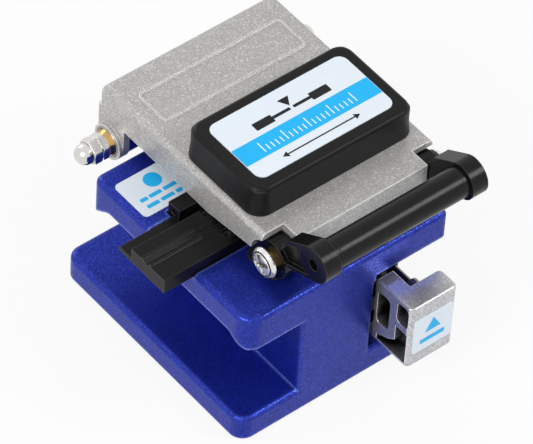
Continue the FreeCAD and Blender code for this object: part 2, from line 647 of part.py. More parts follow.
def hinge_cap_nuts():
    """Domed cap nuts on both ends of the axle."""
    hex_part = chamfered("cap_nut_hex", hexagon("cap_nut_blank", "jam_outer", "cap_shoulder"),
                         "jam_outer", "cap_shoulder")
    neck = hinge_round("Part::Cylinder", "cap_nut_neck", "cap_radius", "lid_x - cap_centre")
    neck.setExpression("Height", formula("cap_centre - cap_shoulder + cap_hex / 2"))
    dome = hinge_round("Part::Sphere", "cap_nut_dome", "cap_radius", "lid_x - cap_centre")
    whole = doc.addObject("Part::MultiFuse", "cap_nut_solid")
    whole.Shapes = [hex_part, neck, dome]
    left = bored("cap_nut_left", whole, "jam_outer - fit", "axle_half + fit")
    return group("hinge_cap_nuts", [left, mirrored("cap_nut_right", left)])


def hinge_jam_nuts():
    """Thin nuts between the washers and the cap nuts."""
    blank = chamfered("jam_nut_hex", hexagon("jam_nut_blank", "washer_outer", "jam_outer"),
                      "washer_outer", "jam_outer")
    left = bored("jam_nut_left", blank, "washer_outer - fit", "jam_outer + fit")
    return group("hinge_jam_nuts", [left, mirrored("jam_nut_right", left)])


def hinge_washers():
    """Brass washers that stand out of the counterbores of the lid's ears."""
    left = turned("washer_left", "X", [
        ("-washer_outer", "barrel_bore"), ("-washer_outer", "washer_face"),
        ("-ear_outer", "washer_radius"), ("-washer_inner", "washer_radius"),
        ("-washer_inner", "barrel_bore")],
        ("lid_x", "hinge_y", "hinge_z"))
    return group("hinge_washers", [left, mirrored("washer_right", left)])


def deck_bumpers():
    """Thin rubber strips on the deck under the lever's hubs."""
    body = new_body("deck_bumper_left")
    add(body, "strip", "XY", "deck_top", "deck_top + bumper_thick",
        rounded("lid_x - arm_inner - bumper_width", "lid_x - arm_inner + recess_fit",
                "bumper_front", "bumper_front + bumper_depth", "bumper_round"))
    right = new_body("deck_bumper_right")
    add(right, "strip", "XY", "deck_top", "deck_top + bumper_thick",
        rounded("lid_x + arm_inner - recess_fit", "base_right - deck_edge",
                "bumper_front", "bumper_front + bumper_depth", "deck_end_corner / 2"))
    return group("deck_bumpers", [body, right])


def slider_rail():
    """The T-section rail screwed to the tower."""
    body = new_body("slider_rail")
    add(body, "profile", "XZ", "rail_front", "rail_back",
        outline(("tower_right", "rail_low + rail_relief"),
                ("tower_right + rail_neck", "rail_low + rail_relief"),
                ("tower_right + rail_neck", "rail_low"), ("rail_right", "rail_low"),
                ("rail_right", "rail_top"), ("tower_right + rail_neck", "rail_top"),
                ("tower_right + rail_neck", "rail_top - rail_relief"),
                ("tower_right", "rail_top - rail_relief")))
    places = [along for _, along in rail_screw_places()]
    cut(body, "counterbores", "YZ", "rail_right - small_head_thick - recess_fit",
        "rail_right + small_head_thick",
        *[circle(along, "rail_middle", "small_head_radius + fit") for along in places])
    cut(body, "screw_holes", "YZ", "tower_right - rail_thick", "rail_right",
        *[circle(along, "rail_middle", "small_shank + fit") for along in places])
    return body


def rail_screws():
    """Three screws that hold the rail to the tower."""
    head = "rail_right - recess_fit"
    screws = []
    for name, along in rail_screw_places():
        screws.append(turned("rail_screw_" + name, "X", [
            ("0", "0"), ("0", "small_head_radius"), ("-small_head_thick", "small_head_radius"),
            ("-small_head_thick", "small_shank"), ("-rail_screw_length", "small_shank"),
            ("-rail_screw_length", "0")], (head, along, "rail_middle")))
    return group("rail_screws", screws)


def rail_stops():
    """Two pins in the tower that stop the slider at both ends."""
    pins = []
    for name, along in stop_pin_places():
        pins.append(turned("stop_pin_" + name, "X", [
            ("-stop_pin_length / 2", "0"), ("-stop_pin_length / 2", "stop_pin_radius"),
            ("stop_pin_length", "stop_pin_radius"), ("stop_pin_length", "0")],
            ("tower_right", along, "stop_pin_z")))
    return group("rail_stops", pins)


def base_magnet():
    """The round magnet in the deck that holds the lid down."""
    return turned("base_magnet", "Z", [("-magnet_thick", "0"), ("-magnet_thick", "magnet_radius"),
                                       ("0", "magnet_radius"), ("0", "0")],
                  ("magnet_x", "magnet_y", "deck_top"))


# ---------------------------------------------------------------------------------- slider pieces
def slider_block():
    """The cast push block: an L in plan, cored from its left side by three pockets."""
    body = new_body("slider_block")
    add(body, "plan", "XY", "block_low", "block_top",
        outline(("block_left", "block_front"), ("block_right", "block_front"),
                ("block_right", "bar_back"), ("arm_right", "bar_back"),
                ("arm_right", "block_back"), ("block_left", "block_back")))
    round_edges(body, "corners", "block_corner",
                lambda edge: runs_along(edge, "Z") and (lies_at(edge, "Y", "block_front")
                or lies_at(edge, "X", "block_right")))
    round_edges(body, "rims", "block_edge", lambda edge: lies_at(edge, "Z", "block_top")
                or lies_at(edge, "Z", "block_low"))
    cut(body, "upper_pocket", "YZ", "block_left - block_skin", "pocket_end",
        rounded("pocket_front", "pocket_back", "block_top - upper_pocket_drop",
                "block_top - block_skin", "block_corner"))
    cut(body, "front_pocket", "YZ", "block_left - block_skin", "pocket_end",
        rectangle("pocket_front", "pocket_back", "block_low + block_skin",
                  "block_low + lower_pocket_rise"))
    cut(body, "lower_pocket", "YZ", "block_left - block_skin", "arm_right - block_skin",
        outline(("pocket_back - block_skin", "block_low + block_skin"),
                ("block_rear_rib", "block_low + block_skin"),
                ("block_rear_rib", "block_low + pocket_heel"),
                ("bar_back + block_rib / 2", "block_low + pocket_toe"),
                ("pocket_back", "block_low + pocket_knee"),
                ("pocket_back - block_skin", "block_low + pocket_knee")))
    cut(body, "rear_pocket", "YZ", "block_left - block_skin", "arm_right - block_skin",
        rounded("bar_back + block_rib / 2", "block_back - block_skin",
                "block_low + rear_pocket_rise", "block_top - rear_pocket_drop",
                "block_corner"))
    return body


def slider_carriage():
    """The carriage: it wraps the rail, and its post carries the blade under the deck."""
    body = new_body("slider_carriage")
    neck = "tower_right + rail_neck - seat_fit"
    add(body, "profile", "XZ", "block_back", "carriage_back",
        outline(("carriage_left", "carriage_low"), ("carriage_right", "carriage_low"),
                ("carriage_right", "carriage_top"), ("carriage_left", "carriage_top"),
                ("carriage_left", "rail_top - rail_relief + fit"),
                (neck, "rail_top - rail_relief + fit"), (neck, "rail_top + fit"),
                ("rail_right + seat_fit", "rail_top + fit"),
                ("rail_right + seat_fit", "rail_low - fit"), (neck, "rail_low - fit"),
                (neck, "rail_low + rail_relief - fit"),
                ("carriage_left", "rail_low + rail_relief - fit")))
    add(body, "post", "XY", "carriage_top - carriage_gap", "post_top",
        rectangle("post_left", "post_right", "post_front", "post_back"))
    add(body, "lug", "XY", "carriage_top - carriage_gap", "rod_top",
        rectangle("post_left", "rod_x + rod_radius + lug_cheek", "lug_front",
                  "lug_front + lug_depth"))
    cut(body, "axle_bore", "YZ", "post_left - carriage_gap", "post_right + carriage_gap",
        circle("blade_y", "blade_z", "blade_axle + fit"))
    return body


def slider_rod():
    """The black rod with a collar that ties the push block to the carriage."""
    return turned("slider_rod", "Y", [
        ("0", "0"), ("0", "collar_radius"), ("collar_length", "collar_radius"),
        ("collar_length", "rod_radius"), ("collar_length + rod_length", "rod_radius"),
        ("collar_length + rod_length", "0")], ("rod_x", "bar_back", "rod_z"))


def push_label():
    """The label on the front of the push block."""
    body = new_body("push_label")
    add(body, "sheet", "XZ", "block_front - label_thick", "block_front",
        rounded("block_left + push_label_margin", "block_right - push_label_margin",
                "push_label_low", "push_label_high", "label_corner / 4"))
    return body


def blade_axle():
    """The shouldered pin that the blade turns on."""
    return turned("blade_axle", "X", [
        ("post_left - blade_thick", "0"), ("post_left - blade_thick", "blade_nut_radius"),
        ("post_left", "blade_nut_radius"), ("post_left", "blade_axle"),
        ("nut_end", "blade_axle"), ("nut_end", "0")],
        ("0", "blade_y", "blade_z"))


def blade_nut():
    """The round nut on the end of the blade's axle."""
    return turned("blade_nut", "X", [
        ("nut_start", "blade_axle"), ("nut_start", "blade_nut_radius"),
        ("nut_end", "blade_nut_radius"), ("nut_end", "blade_axle")],
        ("0", "blade_y", "blade_z"))


def blade_wheel():
    """The round blade: a hub and a thin disc with a bevelled edge."""
    side = "blade_thick / 2"
    bevel = "blade_radius - blade_bevel"
    bore = "blade_axle + fit"
    return turned("blade_wheel", "X", [
        ("hub_start", bore), ("hub_start", "blade_hub"), (f"blade_x - {side}", "blade_hub"),
        (f"blade_x - {side}", bevel), ("blade_x", "blade_radius"), (f"blade_x + {side}", bevel),
        (f"blade_x + {side}", "blade_hub"), ("hub_end", "blade_hub"), ("hub_end", bore)],
        ("0", "blade_y", "blade_z"))


# ------------------------------------------------------------------------------------- lid pieces
def lid_casting():
    """The cast lid: a shell with a front tongue, two hinge ears and two cheeks for the lever."""
    body = new_body("lid_casting")
    left, right = "lid_x - lid_half", "lid_x + lid_half"
    add(body, "main", "XY", "lid_low", "lid_top", rectangle(left, right, "lid_front", "lid_back"))
    add(body, "tongue", "XY", "lid_top - tongue_skirt", "lid_top",
        rectangle("lid_x - tongue_half", "lid_x + tongue_half", "tongue_front",
                  "lid_front + lid_wall"))
    round_edges(body, "rear_edge", "lid_rear_round",
                lambda edge: lies_at(edge, "Z", "lid_top") and lies_at(edge, "Y", "lid_back"))
    round_edges(body, "side_edges", "lid_edge", lambda edge: lies_at(edge, "Z", "lid_top")
                and (lies_at(edge, "X", left) or lies_at(edge, "X", right)))
    cut(body, "inside", "XY", "lid_low - lid_wall", "lid_under",
        rectangle(f"{left} + lid_wall", f"{right} - lid_wall", "lid_front - lid_wall",
                  "lid_back - lid_wall"))
    cut(body, "tongue_inside", "XY", "lid_low - lid_wall", "lid_under",
        rectangle("lid_x - tongue_half + lid_wall", "lid_x + tongue_half - lid_wall",
                  "tongue_front + lid_wall", "lid_front + lid_wall"))
    cut(body, "side_rise", "YZ", f"{left} - lid_wall", f"{right} + lid_wall",
        outline(("rise_start", "lid_low"), ("rise_start", "lid_low - lid_wall"),
                ("lid_front - lid_wall", "lid_low - lid_wall"),
                ("lid_front - lid_wall", "lid_low + lid_rise"),
                ("rise_end", "lid_low + lid_rise")))
    for name, near, far in (("left", f"{left} - lid_wall", "lid_x - tongue_half - fit"),
                            ("right", "lid_x + tongue_half + fit", f"{right} + lid_wall")):
        cut(body, "hub_sweep_" + name, "YZ", near, far, circle("pivot_y", "pivot_z", "hub_sweep"))
    for name, sign in (("left", "-1"), ("right", "1")):
        sides = sorted((f"lid_x + {sign} * {edge}" for edge in ("tongue_half", "cheek_inner")),
                       key=measure)
        add(body, "cheek_" + name, "YZ", *sides, circle("pivot_y", "pivot_z", "cheek_radius"))
        add(body, "cheek_web_" + name, "YZ", *sides,
            rectangle("pivot_y - cheek_radius", "pivot_y + cheek_radius", "pivot_z",
                      "lid_under + lid_plate / 2"))
        sides = sorted((f"lid_x + {sign} * {edge}" for edge in ("ear_inner", "lid_half")),
                       key=measure)
        add(body, "ear_" + name, "YZ", *sides, circle("hinge_y", "hinge_z", "ear_radius"))
        add(body, "ear_web_" + name, "YZ", *sides,
            rectangle("ear_front", "lid_back", "hinge_z", "lid_low + lid_rise"))
        sides = sorted((f"lid_x + {sign} * {edge}" for edge in ("lid_half", "ear_outer")),
                       key=measure)
        add(body, "boss_" + name, "YZ", *sides, circle("hinge_y", "hinge_z", "ear_radius"))
        sides = sorted((f"lid_x + {sign} * {edge}" for edge in ("ear_floor", "ear_beyond")),
                       key=measure)
        cut(body, "counterbore_" + name, "YZ", *sides,
            circle("hinge_y", "hinge_z", "counterbore_radius"))
    cut(body, "axle_bore", "YZ", "lid_x - ear_beyond", "lid_x + ear_beyond",
        circle("hinge_y", "hinge_z", "barrel_bore"))
    cut(body, "pivot_bore", "YZ", "lid_x - ear_beyond", "lid_x + ear_beyond",
        circle("pivot_y", "pivot_z", "pivot_shank + fit"))
    cut(body, "cover_holes", "XY", "lid_under - lid_plate", "lid_top + lid_plate",
        *[circle(x, y, "small_shank + fit") for _, x, y in cover_screw_places()])
    add(body, "catch_post", "XY", "catch_low + catch_thick", "lid_under + lid_plate / 2",
        circle("magnet_x", "magnet_y", "magnet_radius - recess_fit"))
    outer = ("lid_x - frame_half", "lid_x + frame_half", "frame_front",
             "frame_front + frame_depth", "frame_corner")
    inner = ("lid_x - frame_half + frame_line", "lid_x + frame_half - frame_line",
             "frame_front + frame_line", "frame_front + frame_depth - frame_line",
             "frame_corner - frame_line")
    add(body, "frame", "XY", "lid_top - lid_plate / 2", "lid_top + frame_rise",
        rounded(*outer), rounded(*inner))
    return body


def cover_screw_places():
    """Names and places of the four screws that hold the cover to the lid."""
    places = []
    for side, sign in (("left", "-1"), ("right", "1")):
        across = f"lid_x + {sign} * (cover_half - boss_inset)"
        places.append(("front_" + side, across, "cover_front + boss_inset"))
        places.append(("back_" + side, across, "cover_back - boss_inset"))
    return places


def lid_cover():
    """The moulded cover on the lid, hollow, with four screw bosses."""
    body = new_body("lid_cover")
    block = add(body, "block", "XY", "lid_top", "cover_top",
                rounded("lid_x - cover_half", "lid_x + cover_half", "cover_front", "cover_back",
                        "cover_corner"))
    block.setExpression("TaperAngle", formula("-cover_draft"))
    doc.recompute()
    round_edges(body, "top_edge", "cover_edge", lambda edge: lies_at(edge, "Z", "cover_top"))
    cut(body, "inside", "XY", "lid_top - cover_wall", "cover_skin",
        rounded("lid_x - cover_half + cover_inset", "lid_x + cover_half - cover_inset",
                "cover_front + cover_inset", "cover_back - cover_inset",
                "cover_corner - cover_wall"))
    for name, across, along in cover_screw_places():
        add(body, "boss_" + name, "XY", "lid_top", "cover_skin + cover_wall / 2",
            circle(across, along, "cover_boss"))
    cut(body, "screw_holes", "XY", "lid_top - cover_wall", "lid_top + cover_screw_reach + fit",
        *[circle(x, y, "small_shank + fit") for _, x, y in cover_screw_places()])
    cut(body, "label_recess", "XY", "cover_top - label_thick / 2", "cover_top + label_thick",
        rounded("lid_x - cover_half + cover_label_margin - seat_fit",
                "lid_x + cover_half - cover_label_margin + seat_fit",
                "cover_front + cover_label_margin - seat_fit",
                "cover_back - cover_label_margin + seat_fit", "label_corner + seat_fit"))
    return body


def cover_label():
    """The label set in the top of the cover."""
    body = new_body("cover_label")
    add(body, "sheet", "XY", "cover_top - label_thick / 2", "cover_top + label_thick / 2",
        rounded("lid_x - cover_half + cover_label_margin",
                "lid_x + cover_half - cover_label_margin", "cover_front + cover_label_margin",
                "cover_back - cover_label_margin", "label_corner"))
    return body


def cover_screws():
    """Four screws from under the lid into the cover's bosses."""
    screws = []
    for name, across, along in cover_screw_places():
        screws.append(turned("cover_screw_" + name, "Z", [
            ("-small_head_thick", "0"), ("-small_head_thick", "small_head_radius"),
            ("0", "small_head_radius"), ("0", "small_shank"),
            ("lid_plate + cover_screw_reach", "small_shank"),
            ("lid_plate + cover_screw_reach", "0")], (across, along, "lid_under")))
    return group("cover_screws", screws)


def clamp_carrier():
    """The block under the lid that carries the upper pads and guides the anvil between its legs."""
    body = new_body("clamp_carrier")
    inner = "(anvil_half + fit)"
    add(body, "profile", "XZ", "pad_front - seat_margin", "pad_back + seat_margin",
        outline(("blade_x - carrier_half", "upper_pad_top"),
                (f"blade_x - {inner}", "upper_pad_top"), (f"blade_x - {inner}", "carrier_under"),
                (f"blade_x + {inner}", "carrier_under"), (f"blade_x + {inner}", "upper_pad_top"),
                ("blade_x + carrier_half", "upper_pad_top"),
                ("blade_x + carrier_half", "lid_under"),
                ("blade_x - carrier_half", "lid_under")))
    cut(body, "spring_pocket", "XY", "carrier_under - spring_pocket", "spring_top",
        circle("blade_x", "fibre_y", "spring_radius + seat_fit"))
    return body


def anvil_block():
    """The sprung block between the clamps."""
    return plate("anvil_block", "blade_x - anvil_half", "blade_x + anvil_half",
                 "fibre_y - anvil_depth / 2", "fibre_y + anvil_depth / 2", "anvil_low",
                 "anvil_top")


def anvil_tip():
    """The rubber edge that bends the fibre over the blade."""
    body = new_body("anvil_tip")
    add(body, "edge", "XZ", "fibre_y - tip_depth / 2", "fibre_y + tip_depth / 2",
        outline(("blade_x - tip_half", "anvil_low"), ("blade_x - tip_half / 2", "tip_low"),
                ("blade_x + tip_half / 2", "tip_low"), ("blade_x + tip_half", "anvil_low")))
    return body


def anvil_spring():
    """The spring above the anvil, drawn as a plain sleeve."""
    return turned("anvil_spring", "Z", [
        ("anvil_top", "spring_radius - spring_wire"), ("anvil_top", "spring_radius"),
        ("spring_top", "spring_radius"), ("spring_top", "spring_radius - spring_wire")],
        ("blade_x", "fibre_y", "0"))


def lid_catch_plate():
    """The steel disc on the lid's post that meets the magnet."""
    return turned("lid_catch_plate", "Z", [
        ("catch_low", "0"), ("catch_low", "magnet_radius - recess_fit"),
        ("catch_low + catch_thick", "magnet_radius - recess_fit"),
        ("catch_low + catch_thick", "0")], ("magnet_x", "magnet_y", "0"))


def pivot_bushings():
    """Brass bushings that the lever's arms turn on."""
    left = turned("bushing_left", "X", [
        ("-head_seat", "pivot_shank + fit"), ("-head_seat", "bushing_radius"),
        ("-tongue_half", "bushing_radius"), ("-tongue_half", "pivot_shank + fit")],
        ("lid_x", "pivot_y", "pivot_z"))
    return group("pivot_bushings", [left, mirrored("bushing_right", left)])


def pivot_screws():
    """Pan-head screws that clamp the bushings to the lid's cheeks."""
    head = "head_seat + pivot_head_thick"
    left = turned("pivot_screw_left", "X", [
        (f"-({head})", "0"), (f"-({head})", "pivot_crown"),
        (f"-({head}) + pivot_bevel", "pivot_shoulder"),
        ("-head_seat - pivot_brim", "pivot_head"), ("-head_seat", "pivot_head"),
        ("-head_seat", "pivot_shank"), ("-cheek_inner", "pivot_shank"), ("-cheek_inner", "0")],
        ("lid_x", "pivot_y", "pivot_z"))
    return group("pivot_screws", [left, mirrored("pivot_screw_right", left)])


# ----------------------------------------------------------------------------------- lever pieces
def handle_arm_left():
    """The lever's left arm: a hub, a cranked web sunk in its outer face, and a round end."""
    body = new_body("handle_arm_left")
    outer, inner = "lid_x - arm_outer", "lid_x - arm_inner"
    neck = ("pivot_y - neck_run", "pivot_z + neck_height")
    knee = ("pivot_y - knee_run", "pivot_z + knee_height")
    crest = ("pivot_y - crest_run", "pivot_z + crest_height")
    root = ("pivot_y", "pivot_z")
    add(body, "web", "YZ", outer, inner,
        outline(neck, knee, crest, touch(crest, "1"), touch(root, "-1"), root))
    sunk = [("pivot_y - knee_run - web_rim", "pivot_z + knee_height"),
            ("pivot_y - crest_run - web_rim / 2", "pivot_z + crest_height - web_rim"),
            touch(crest, "1", "web_rim"), touch(root, "-1", "web_rim"),
            ("pivot_y", "pivot_z + web_rim")]
    cut(body, "sunk_face", "YZ", outer, f"{outer} + web_recess", outline(*sunk))
    add(body, "hub", "YZ", outer, inner, circle("pivot_y", "pivot_z", "hub_radius"))
    add(body, "end", "YZ", outer, inner, circle("bar_y", "bar_z", "end_radius"))
    cut(body, "pivot_bore", "YZ", outer, inner,
        circle("pivot_y", "pivot_z", "bushing_radius + fit"))
    cut(body, "end_hole", "YZ", outer, inner, circle("bar_y", "bar_z", "small_shank + fit"))
    cut(body, "end_recess", "YZ", outer, f"{outer} + end_hole_depth + small_head_thick",
        circle("bar_y", "bar_z", "end_hole"))
    return body


def touch(corner, side, inset="0"):
    """The point where a line from a corner touches the arm's round end, drawn in by an inset.

    The side is 1 for the line over the round end and -1 for the line under it.
    """
    run, rise = (f"({place} - {centre})" for place, centre in zip(corner, ("bar_y", "bar_z")))
    radius = f"(end_radius - {inset})"
    square = f"({run} ^ 2 + {rise} ^ 2)"
    along = f"{radius} ^ 2 / {square}"
    off = f"{side} * {radius} * sqrt({square} - {radius} ^ 2) / {square}"
    return (f"bar_y + {along} * {run} - {off} * {rise}",
            f"bar_z + {along} * {rise} + {off} * {run}")


def handle_bar():
    """The round bar between the arms."""
    return turned("handle_bar", "X", [("-arm_inner", "0"), ("-arm_inner", "bar_radius"),
                                      ("arm_inner", "bar_radius"), ("arm_inner", "0")],
                  ("lid_x", "bar_y", "bar_z"))


def handle_bar_screws():
    """Screws sunk in the round ends of the arms."""
    head = "arm_outer - end_hole_depth"
    left = turned("bar_screw_left", "X", [
        (f"-({head})", "0"), (f"-({head})", "small_head_radius"),
        (f"-({head}) + small_head_thick", "small_head_radius"),
        (f"-({head}) + small_head_thick", "small_shank"), ("-arm_inner", "small_shank"),
        ("-arm_inner", "0")], ("lid_x", "bar_y", "bar_z"))
    return group("handle_bar_screws", [left, mirrored("bar_screw_right", left)])


# ---------------------------------------------------------------------------------------- building
left_arm = handle_arm_left()
pieces = [
    base_frame(), rubber_pad(), guide_plate(), guide_block(), guide_screws(), clamp_seats(),
    *clamp_pads(), deck_label(), hinge_axle(), hinge_cap_nuts(), hinge_jam_nuts(),
    hinge_washers(), deck_bumpers(), slider_rail(), rail_screws(), rail_stops(), base_magnet(),
    slider_block(), slider_carriage(), slider_rod(), push_label(), blade_axle(), blade_nut(),
    blade_wheel(), lid_casting(), lid_cover(), cover_label(), cover_screws(), clamp_carrier(),
    anvil_block(), anvil_tip(), anvil_spring(), lid_catch_plate(), pivot_bushings(),
    pivot_screws(), left_arm, mirrored("handle_arm_right", left_arm), handle_bar(),
    handle_bar_screws(),
]
doc.recompute()

# ------------------------------------------------------------------------------ checks and export
for item in doc.Objects:
    if "Invalid" in item.State or "Error" in item.State:
        raise RuntimeError(f"{item.Name} did not build: {item.State}")
for piece in pieces:
    if piece.Shape.isNull() or not piece.Shape.isValid():
        raise RuntimeError(f"{piece.Label} has no valid shape")

os.makedirs("parts", exist_ok=True)
for piece in pieces:
    piece.Shape.exportStep(f"parts/{piece.Label}.step")
    solids = len(piece.Shape.Solids)
    print(f"{piece.Label}: {solids} solid(s), {piece.Shape.Volume:.1f} mm3")
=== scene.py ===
import json
import math

import bpy
from mathutils import Matrix, Vector


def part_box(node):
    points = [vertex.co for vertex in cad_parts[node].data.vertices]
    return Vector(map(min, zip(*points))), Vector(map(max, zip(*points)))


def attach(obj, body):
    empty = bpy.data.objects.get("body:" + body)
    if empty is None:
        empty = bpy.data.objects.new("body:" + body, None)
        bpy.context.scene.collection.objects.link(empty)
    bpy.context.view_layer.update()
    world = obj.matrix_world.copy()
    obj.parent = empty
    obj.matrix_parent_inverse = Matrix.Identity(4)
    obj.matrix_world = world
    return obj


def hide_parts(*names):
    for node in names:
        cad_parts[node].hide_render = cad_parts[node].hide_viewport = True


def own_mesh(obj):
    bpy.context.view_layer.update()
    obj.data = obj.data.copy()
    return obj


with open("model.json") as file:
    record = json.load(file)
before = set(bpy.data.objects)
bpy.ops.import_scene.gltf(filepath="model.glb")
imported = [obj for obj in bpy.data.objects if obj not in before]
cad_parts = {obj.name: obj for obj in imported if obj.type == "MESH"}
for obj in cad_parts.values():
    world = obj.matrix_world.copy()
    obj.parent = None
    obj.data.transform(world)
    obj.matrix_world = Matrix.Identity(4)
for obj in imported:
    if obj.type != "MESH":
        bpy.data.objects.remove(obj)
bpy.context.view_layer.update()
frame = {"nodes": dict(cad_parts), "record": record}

# A fibre cleaver on a pale table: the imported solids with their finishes, and the small prints,
# screws and springs that are modelled here. Everything is in metres.
MM = 0.001
EDGE_SAMPLES = 6
nodes = frame["nodes"]


# ------------------------------------------------------------------------------- shader utilities
def add_node(tree, kind, **settings):
    """Add a shader node; settings are its properties, or its inputs by name or number."""
    node = tree.nodes.new(kind)
    for key, value in settings.items():
        if key == "inputs":
            for socket, number in value.items():
                node.inputs[socket].default_value = number
        else:
            setattr(node, key, value)
    return node


def math_node(tree, operation, first, second=0.0, clamp=False):
    """A Math node; each operand is a socket or a number. Returns its output."""
    node = add_node(tree, "ShaderNodeMath", operation=operation, use_clamp=clamp)
    for slot, value in enumerate((first, second)):
        if isinstance(value, bpy.types.NodeSocket):
            tree.links.new(value, node.inputs[slot])
        else:
            node.inputs[slot].default_value = value
    return node.outputs[0]


def mix_colour(tree, amount, first, second, blend="MIX"):
    """Mix two colours; each is a socket or three numbers. Returns the result."""
    node = add_node(tree, "ShaderNodeMix", data_type="RGBA", blend_type=blend)
    for slot, value in ((0, amount), (6, first), (7, second)):
        if isinstance(value, bpy.types.NodeSocket):
            tree.links.new(value, node.inputs[slot])
        elif slot == 0:
            node.inputs[slot].default_value = value
        else:
            node.inputs[slot].default_value = (*value, 1.0)
    return node.outputs[2]


def spread(tree, value, low, high, new_low, new_high):
    """Carry a value from one range to another, without going past its ends."""
    node = add_node(tree, "ShaderNodeMapRange",
                    inputs={1: low, 2: high, 3: new_low, 4: new_high})
    tree.links.new(value, node.inputs[0])
    return node.outputs[0]


def new_group(name, inputs, outputs):
    """Start a shader node group with named number inputs and outputs."""
    group = bpy.data.node_groups.new(name, "ShaderNodeTree")
    for title, value in inputs.items():
        socket = group.interface.new_socket(title, in_out="INPUT", socket_type="NodeSocketFloat")
        socket.default_value = value
    for title, kind in outputs.items():
        group.interface.new_socket(title, in_out="OUTPUT", socket_type=kind)
    return group, group.nodes.new("NodeGroupInput"), group.nodes.new("NodeGroupOutput")


def object_place(tree):
    """The place of a point in the object's own frame."""
    return add_node(tree, "ShaderNodeTexCoord").outputs["Object"]


def noise(tree, scale, detail=3.0, roughness=0.5):
    """A noise pattern over the object; scale is a number or a socket."""
    node = add_node(tree, "ShaderNodeTexNoise", inputs={"Detail": detail, "Roughness": roughness})
    tree.links.new(object_place(tree), node.inputs["Vector"])
    if isinstance(scale, bpy.types.NodeSocket):
        tree.links.new(scale, node.inputs["Scale"])
    else:
        node.inputs["Scale"].default_value = scale
    return node.outputs["Fac"]


NOISE_LOW, NOISE_HIGH = 0.3, 0.7


def contrast(tree, value, new_low=0.0, new_high=1.0):
    """Carry the range that a noise really fills to a new range."""
    return spread(tree, value, NOISE_LOW, NOISE_HIGH, new_low, new_high)


def scaled(tree, value, factor):
    """A value times a factor; each is a socket or a number."""
    return math_node(tree, "MULTIPLY", value, factor)


def build_painted_edge_highlight():
    """Mask of the outer edges, for a painted highlight, broken up in patches."""
    patch_scale, patch_low, patch_high = 900.0, 0.35, 0.65
    group, source, result = new_group("painted_edge_highlight", {"Radius": 0.0004, "Gain": 6.0, "Break": 0.5},
                                      {"Mask": "NodeSocketFloat"})
    bevel = add_node(group, "ShaderNodeBevel", samples=EDGE_SAMPLES)
    group.links.new(source.outputs["Radius"], bevel.inputs["Radius"])
    surface = add_node(group, "ShaderNodeNewGeometry")
    dot = add_node(group, "ShaderNodeVectorMath", operation="DOT_PRODUCT")
    group.links.new(bevel.outputs["Normal"], dot.inputs[0])
    group.links.new(surface.outputs["Normal"], dot.inputs[1])
    turn = math_node(group, "SUBTRACT", 1.0, dot.outputs["Value"])
    strong = scaled(group, turn, source.outputs["Gain"])
    patchy = spread(group, noise(group, patch_scale, 4.0), patch_low, patch_high, 0.0, 1.0)
    loss = scaled(group, math_node(group, "SUBTRACT", 1.0, patchy), source.outputs["Break"])
    kept = math_node(group, "SUBTRACT", 1.0, loss)
    mask = math_node(group, "MULTIPLY", strong, kept, clamp=True)
    group.links.new(mask, result.inputs["Mask"])
    return group


def build_cast_grain():
    """The grain of a casting or a texture-moulded surface, and its broad unevenness."""
    blotch_width, patch_scale = 9.0, 120.0
    group, source, result = new_group("cast_grain", {"Scale": 4000.0, "Blotch": 0.3},
                                      {"Height": "NodeSocketFloat", "Patch": "NodeSocketFloat"})
    fine = noise(group, source.outputs["Scale"], 4.0, 0.6)
    coarse = noise(group, math_node(group, "DIVIDE", source.outputs["Scale"], blotch_width))
    blotch = scaled(group, math_node(group, "SUBTRACT", coarse, 0.5), source.outputs["Blotch"])
    height = math_node(group, "ADD", fine, blotch)
    group.links.new(height, result.inputs["Height"])
    group.links.new(noise(group, patch_scale, 2.0), result.inputs["Patch"])
    return group


def build_sparkle():
    """Scattered flakes in a metallic paint or on a cast surface."""
    group, source, result = new_group("sparkle", {"Scale": 3500.0, "Share": 0.2},
                                      {"Mask": "NodeSocketFloat"})
    cells = add_node(group, "ShaderNodeTexVoronoi", feature="F1")
    group.links.new(object_place(group), cells.inputs["Vector"])
    group.links.new(source.outputs["Scale"], cells.inputs["Scale"])
    shade = add_node(group, "ShaderNodeSeparateColor")
    group.links.new(cells.outputs["Color"], shade.inputs["Color"])
    chosen = math_node(group, "LESS_THAN", shade.outputs[0], source.outputs["Share"])
    group.links.new(scaled(group, chosen, shade.outputs[1]), result.inputs["Mask"])
    return group


def build_painted_recess_shade():
    """Mask of the deep hollows, for a painted shade that darkens them."""
    closed, open_air = 0.38, 0.76
    group, source, result = new_group("painted_recess_shade", {"Reach": 0.004},
                                      {"Mask": "NodeSocketFloat"})
    shade = add_node(group, "ShaderNodeAmbientOcclusion", samples=8, only_local=True)
    group.links.new(source.outputs["Reach"], shade.inputs["Distance"])
    group.links.new(spread(group, shade.outputs["AO"], closed, open_air, 1.0, 0.0),
                    result.inputs["Mask"])
    return group


# Painted highlight along the outer edges.
PAINTED_EDGE_HIGHLIGHT = build_painted_edge_highlight()
CAST_GRAIN = build_cast_grain()
SPARKLE = build_sparkle()
# Painted shade in deep hollows.
PAINTED_RECESS_SHADE = build_painted_recess_shade()


def use_group(tree, group, **inputs):
    """Place a node group in a material with its own values."""
    node = add_node(tree, "ShaderNodeGroup", node_tree=group)
    for name, value in inputs.items():
        node.inputs[name].default_value = value
    return node


def new_finish(name, roughness=0.5, metallic=0.0, specular=0.5):
    """Start a finish with its shader's plain values."""
    finish = bpy.data.materials.new(name)
    finish.use_nodes = True
    shader = finish.node_tree.nodes["Principled BSDF"]
    shader.inputs["Roughness"].default_value = roughness
    shader.inputs["Metallic"].default_value = metallic
    shader.inputs["Specular IOR Level"].default_value = specular
    return finish, finish.node_tree, shader


